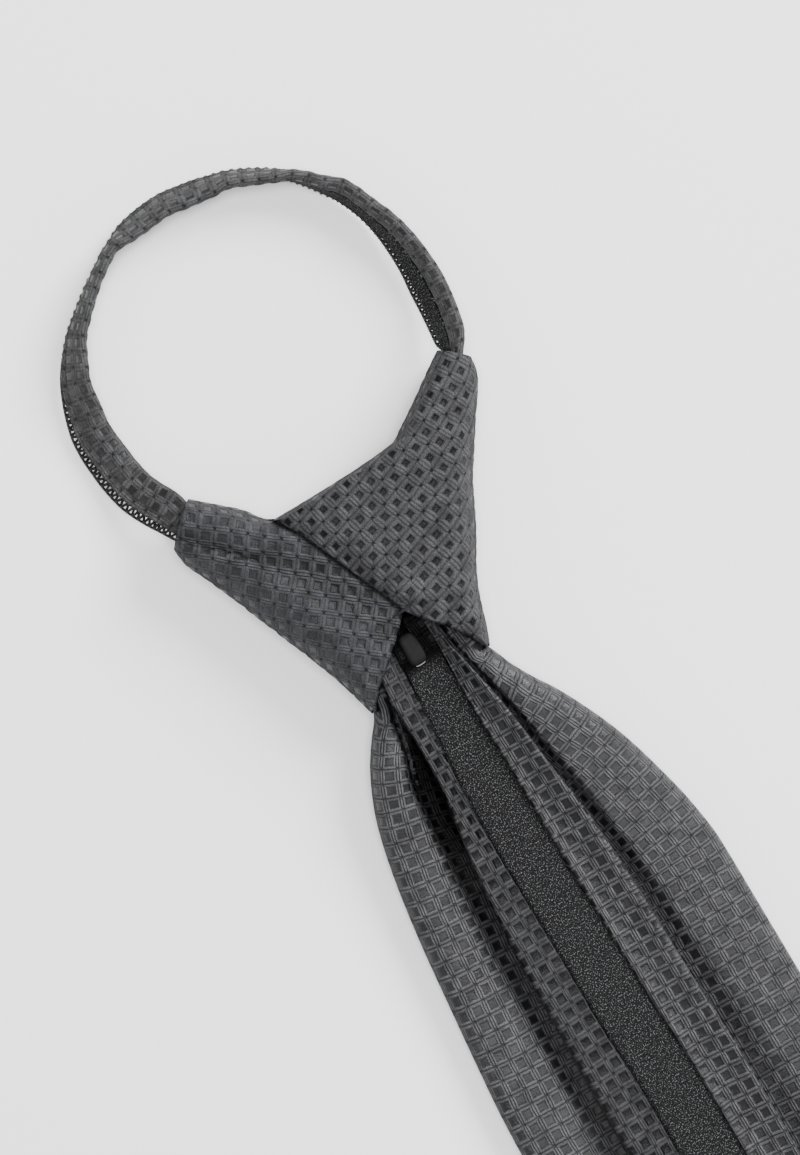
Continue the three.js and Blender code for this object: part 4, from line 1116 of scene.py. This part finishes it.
# %% Five finishes of the cloth
cloth = jacquard(
    "polyester_jacquard", OPEN, dark="040404", bright="464648", satin_colour="131314",
    gloss=0.4, lines_along=0.95, lines_across=0.75, knots=0.5,
)
# painted shade: darker ribs and satin than the blade's
knot_cloth_shaded = jacquard(
    "polyester_jacquard_drawn_tight_painted_shade", TIGHT, dark="060606", bright="363639",
    satin_colour="101011", gloss=0.25, lines_along=0.85, lines_across=0.5, knots=0.3,
)
# painted shade: darker ribs and near-black satin
bias_cloth_shaded = jacquard(
    "polyester_jacquard_on_the_bias_painted_shade", BIAS, dark="070707", bright="363638",
    satin_colour="060606", gloss=0.15, lines_along=0.6, lines_across=0.5, knots=0.1,
)
# painted shade: darker ribs and satin for the band's roll
rolled_shaded_cloth = jacquard(
    "polyester_jacquard_rolled_painted_shade", ROLLED, dark="050505", bright="333335",
    satin_colour="090909", gloss=0.15, lines_along=0.9, lines_across=0.6, knots=0.3,
)
neck_finish = jacquard(
    "polyester_jacquard_pressed", TIGHT, dark="0e0e0e", bright="3c3c3d",
    satin_colour="1e1e1e", gloss=0.3, lines_along=0.5, lines_across=0.4, knots=0.3,
)

# %% [markdown]
# The zip tape is a dense plain weave of dull polyester. It is dark, with short bright specks
# where a filament catches the light. Two noises do it: a fine one for the weave, and a
# stretched one, cut off high, for the specks. In the hollow of the knot the tape is painted
# black, a painted shade, by the same kind of stored share as the cloth's.

# %% Zip tape
DULL_POLYESTER_IOR = 1.5


def tape_weave():
    material, tree, shader, add = new_material("polyester_zip_tape")
    flat = add("UVMap", uv_map="weave")
    stretched = add("Mapping", {"Vector": flat, "Scale": (4.4, 2.8, 1.0)})
    specks = add("TexNoise", {"Vector": stretched, "Scale": 1.0, "Detail": 2.0}, "Fac")
    specks = add("MapRange", (specks, 0.55, 0.66), interpolation_type="SMOOTHSTEP")
    fine = add("TexNoise", {"Vector": flat, "Scale": 3.0, "Detail": 2.0}, "Fac")
    weave = add("Mix", {0: fine, 6: linear("030303"), 7: linear("161617")}, 2, data_type="RGBA")
    colour = add("Mix", {0: specks, 6: weave, 7: linear("565758")}, 2, data_type="RGBA")
    # painted shade: the tape is painted black in the knot's hollow
    painted_shade = add("Attribute", out="Fac", attribute_name="painted_shade")
    colour = add("Mix", {0: painted_shade, 6: colour, 7: linear("030303")}, 2, data_type="RGBA")
    bump = add("Bump", {"Strength": 1.0, "Distance": 0.12 * MM, "Height": fine})
    tree.links.new(colour, shader.inputs["Base Color"])
    tree.links.new(bump, shader.inputs["Normal"])
    shader.inputs["Roughness"].default_value = 0.85
    shader.inputs["IOR"].default_value = DULL_POLYESTER_IOR
    shader.inputs["Specular IOR Level"].default_value = 0.12
    print(material.name, "has", len(tree.nodes), "nodes")
    return material


zip_tape = tape_weave()

# %% [markdown]
# The small hard pieces need only plain finishes. The coil is extruded nylon, smooth and slightly
# glossy. The slider's cap is die-cast zinc with a dark satin paint, and its edge is bare nickel
# plate. A faint cloud of roughness stops each from looking like plastic.

# %% Nylon, paint, metal and thread
CLOUD = 0.06  # how far the roughness wanders


def plain_finish(name, colour, roughness, metallic, ior):
    material, tree, shader, add = new_material(name)
    place = add("TexCoord", out="Object")
    cloud = add("TexNoise", {"Vector": place, "Scale": 900.0, "Detail": 2.0}, "Fac")
    cloud = add("MapRange", {0: cloud, 3: roughness - CLOUD, 4: roughness + CLOUD})
    tree.links.new(cloud, shader.inputs["Roughness"])
    shader.inputs["Base Color"].default_value = linear(colour)
    shader.inputs["Metallic"].default_value = metallic
    if ior:
        shader.inputs["IOR"].default_value = ior
        shader.inputs["Specular IOR Level"].default_value = 0.12
    print(name, "has roughness", roughness)
    return material


nylon = plain_finish("nylon_coil", "1c1c1d", roughness=0.35, metallic=0.0, ior=1.53)
paint = plain_finish("satin_dark_paint", "070708", roughness=0.55, metallic=0.0, ior=1.5)
nickel = plain_finish("nickel_plate", "c8c8c8", roughness=0.22, metallic=1.0, ior=None)
sewing = plain_finish("sewing_thread", "1a1a1b", roughness=0.6, metallic=0.0, ior=1.5)

# %% [markdown]
# Every piece now gets its finish and rides on the one body, and the solid it stands for is hidden.

# %% Dress the frame
pieces = [
    (blade, "blade", cloth, "jacquard_cloth"),
    (left_wrap, "knot_left_wrap", knot_cloth_shaded, "jacquard_cloth"),
    (right_wrap, "knot_right_wrap", bias_cloth_shaded, "jacquard_cloth"),
    (left_band, "tail_left_band", rolled_shaded_cloth, "jacquard_cloth"),
    (right_band, "tail_right_band", cloth, "jacquard_cloth"),
    (tape, "tail_tape", zip_tape, "zip_tape"),
    (neck, "neckband_cloth", neck_finish, "jacquard_cloth"),
    (neck_tape_piece, "neckband_tape", zip_tape, "zip_tape"),
    (coil, "neckband_coil", nylon, "nylon_coil"),
    (cap, "slider_cap", paint, "dark_cap"),
    (plate, "slider_plate", nickel, "bare_metal"),
    (stitches, None, sewing, None),
]
for piece, solid, material, slot_name in pieces:
    piece.data.materials.append(material)
    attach(piece, "root")
    if solid:
        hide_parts(solid)
print(len(pieces), "pieces dressed")

# %% [markdown]

# %% [markdown]
# The table is white and the light is soft, as in a small photo tent. A weak softbox overhead
# gives the satin something to mirror, and a stronger one at the side lights the folds. The tent
# is brighter low down than overhead, so that the slopes stay light and the flats don't glare.
# The camera looks straight down and is turned by 30 degrees, which gives the photo's slant.

# %% Table, light and camera
TABLE_SIZE = 6  # m
bpy.ops.mesh.primitive_plane_add(size=TABLE_SIZE)
floor = bpy.context.active_object
floor.name = "floor"
table_paint, _, floor_shader, _ = new_material("white_table")
floor_shader.inputs["Base Color"].default_value = linear("f4f4f4")
floor_shader.inputs["Roughness"].default_value = 0.9
floor.data.materials.append(table_paint)


KNOT_PLACE = (0, 0.2, 0)  # m


def softbox(name, place, width, watts):
    """A round soft lamp that points at the knot."""
    lamp = bpy.data.lights.new(name, "AREA")
    lamp.shape, lamp.size, lamp.energy = "DISK", width, watts
    holder = bpy.data.objects.new(name, lamp)
    holder.location = place
    away = Vector(place) - Vector(KNOT_PLACE)
    holder.rotation_euler = away.to_track_quat("Z", "Y").to_euler()
    bpy.context.scene.collection.objects.link(holder)


softbox("overhead_softbox", (0.03, 0.24, 1.2), 0.5, 16)
softbox("key_softbox", (1.25, 0.55, 0.85), 0.8, 50)

world = bpy.data.worlds.new("white_tent")
world.use_nodes = True
tent_wall = world.node_tree.nodes["Background"]
sky = node(world.node_tree, "TexCoord", out="Generated")
upward = node(world.node_tree, "SeparateXYZ", (sky,), "Z")
brightness = node(world.node_tree, "MapRange", (upward, 0.5, 0.95, 1.35, 0.35))
world.node_tree.links.new(brightness, tent_wall.inputs["Strength"])
tent_wall.inputs["Color"].default_value = (1, 1, 1, 1)
bpy.context.scene.world = world

VIEW_CENTRE = (0.00473, 0.22164)  # m, under the middle of the photo
VIEW_HEIGHT = 0.680  # m
PHOTO_SLANT = 30  # degrees
lens = bpy.data.cameras.new("camera")
LENS, SENSOR = 100, 36  # mm, a long lens that keeps the shapes true
lens.lens, lens.sensor_width, lens.sensor_fit = LENS, SENSOR, "AUTO"
camera = bpy.data.objects.new("camera", lens)
camera.location = (*VIEW_CENTRE, VIEW_HEIGHT)
camera.rotation_euler = (0, 0, math.radians(-PHOTO_SLANT))
bpy.context.scene.collection.objects.link(camera)
bpy.context.scene.camera = camera
print("camera", [round(x, 3) for x in camera.location])
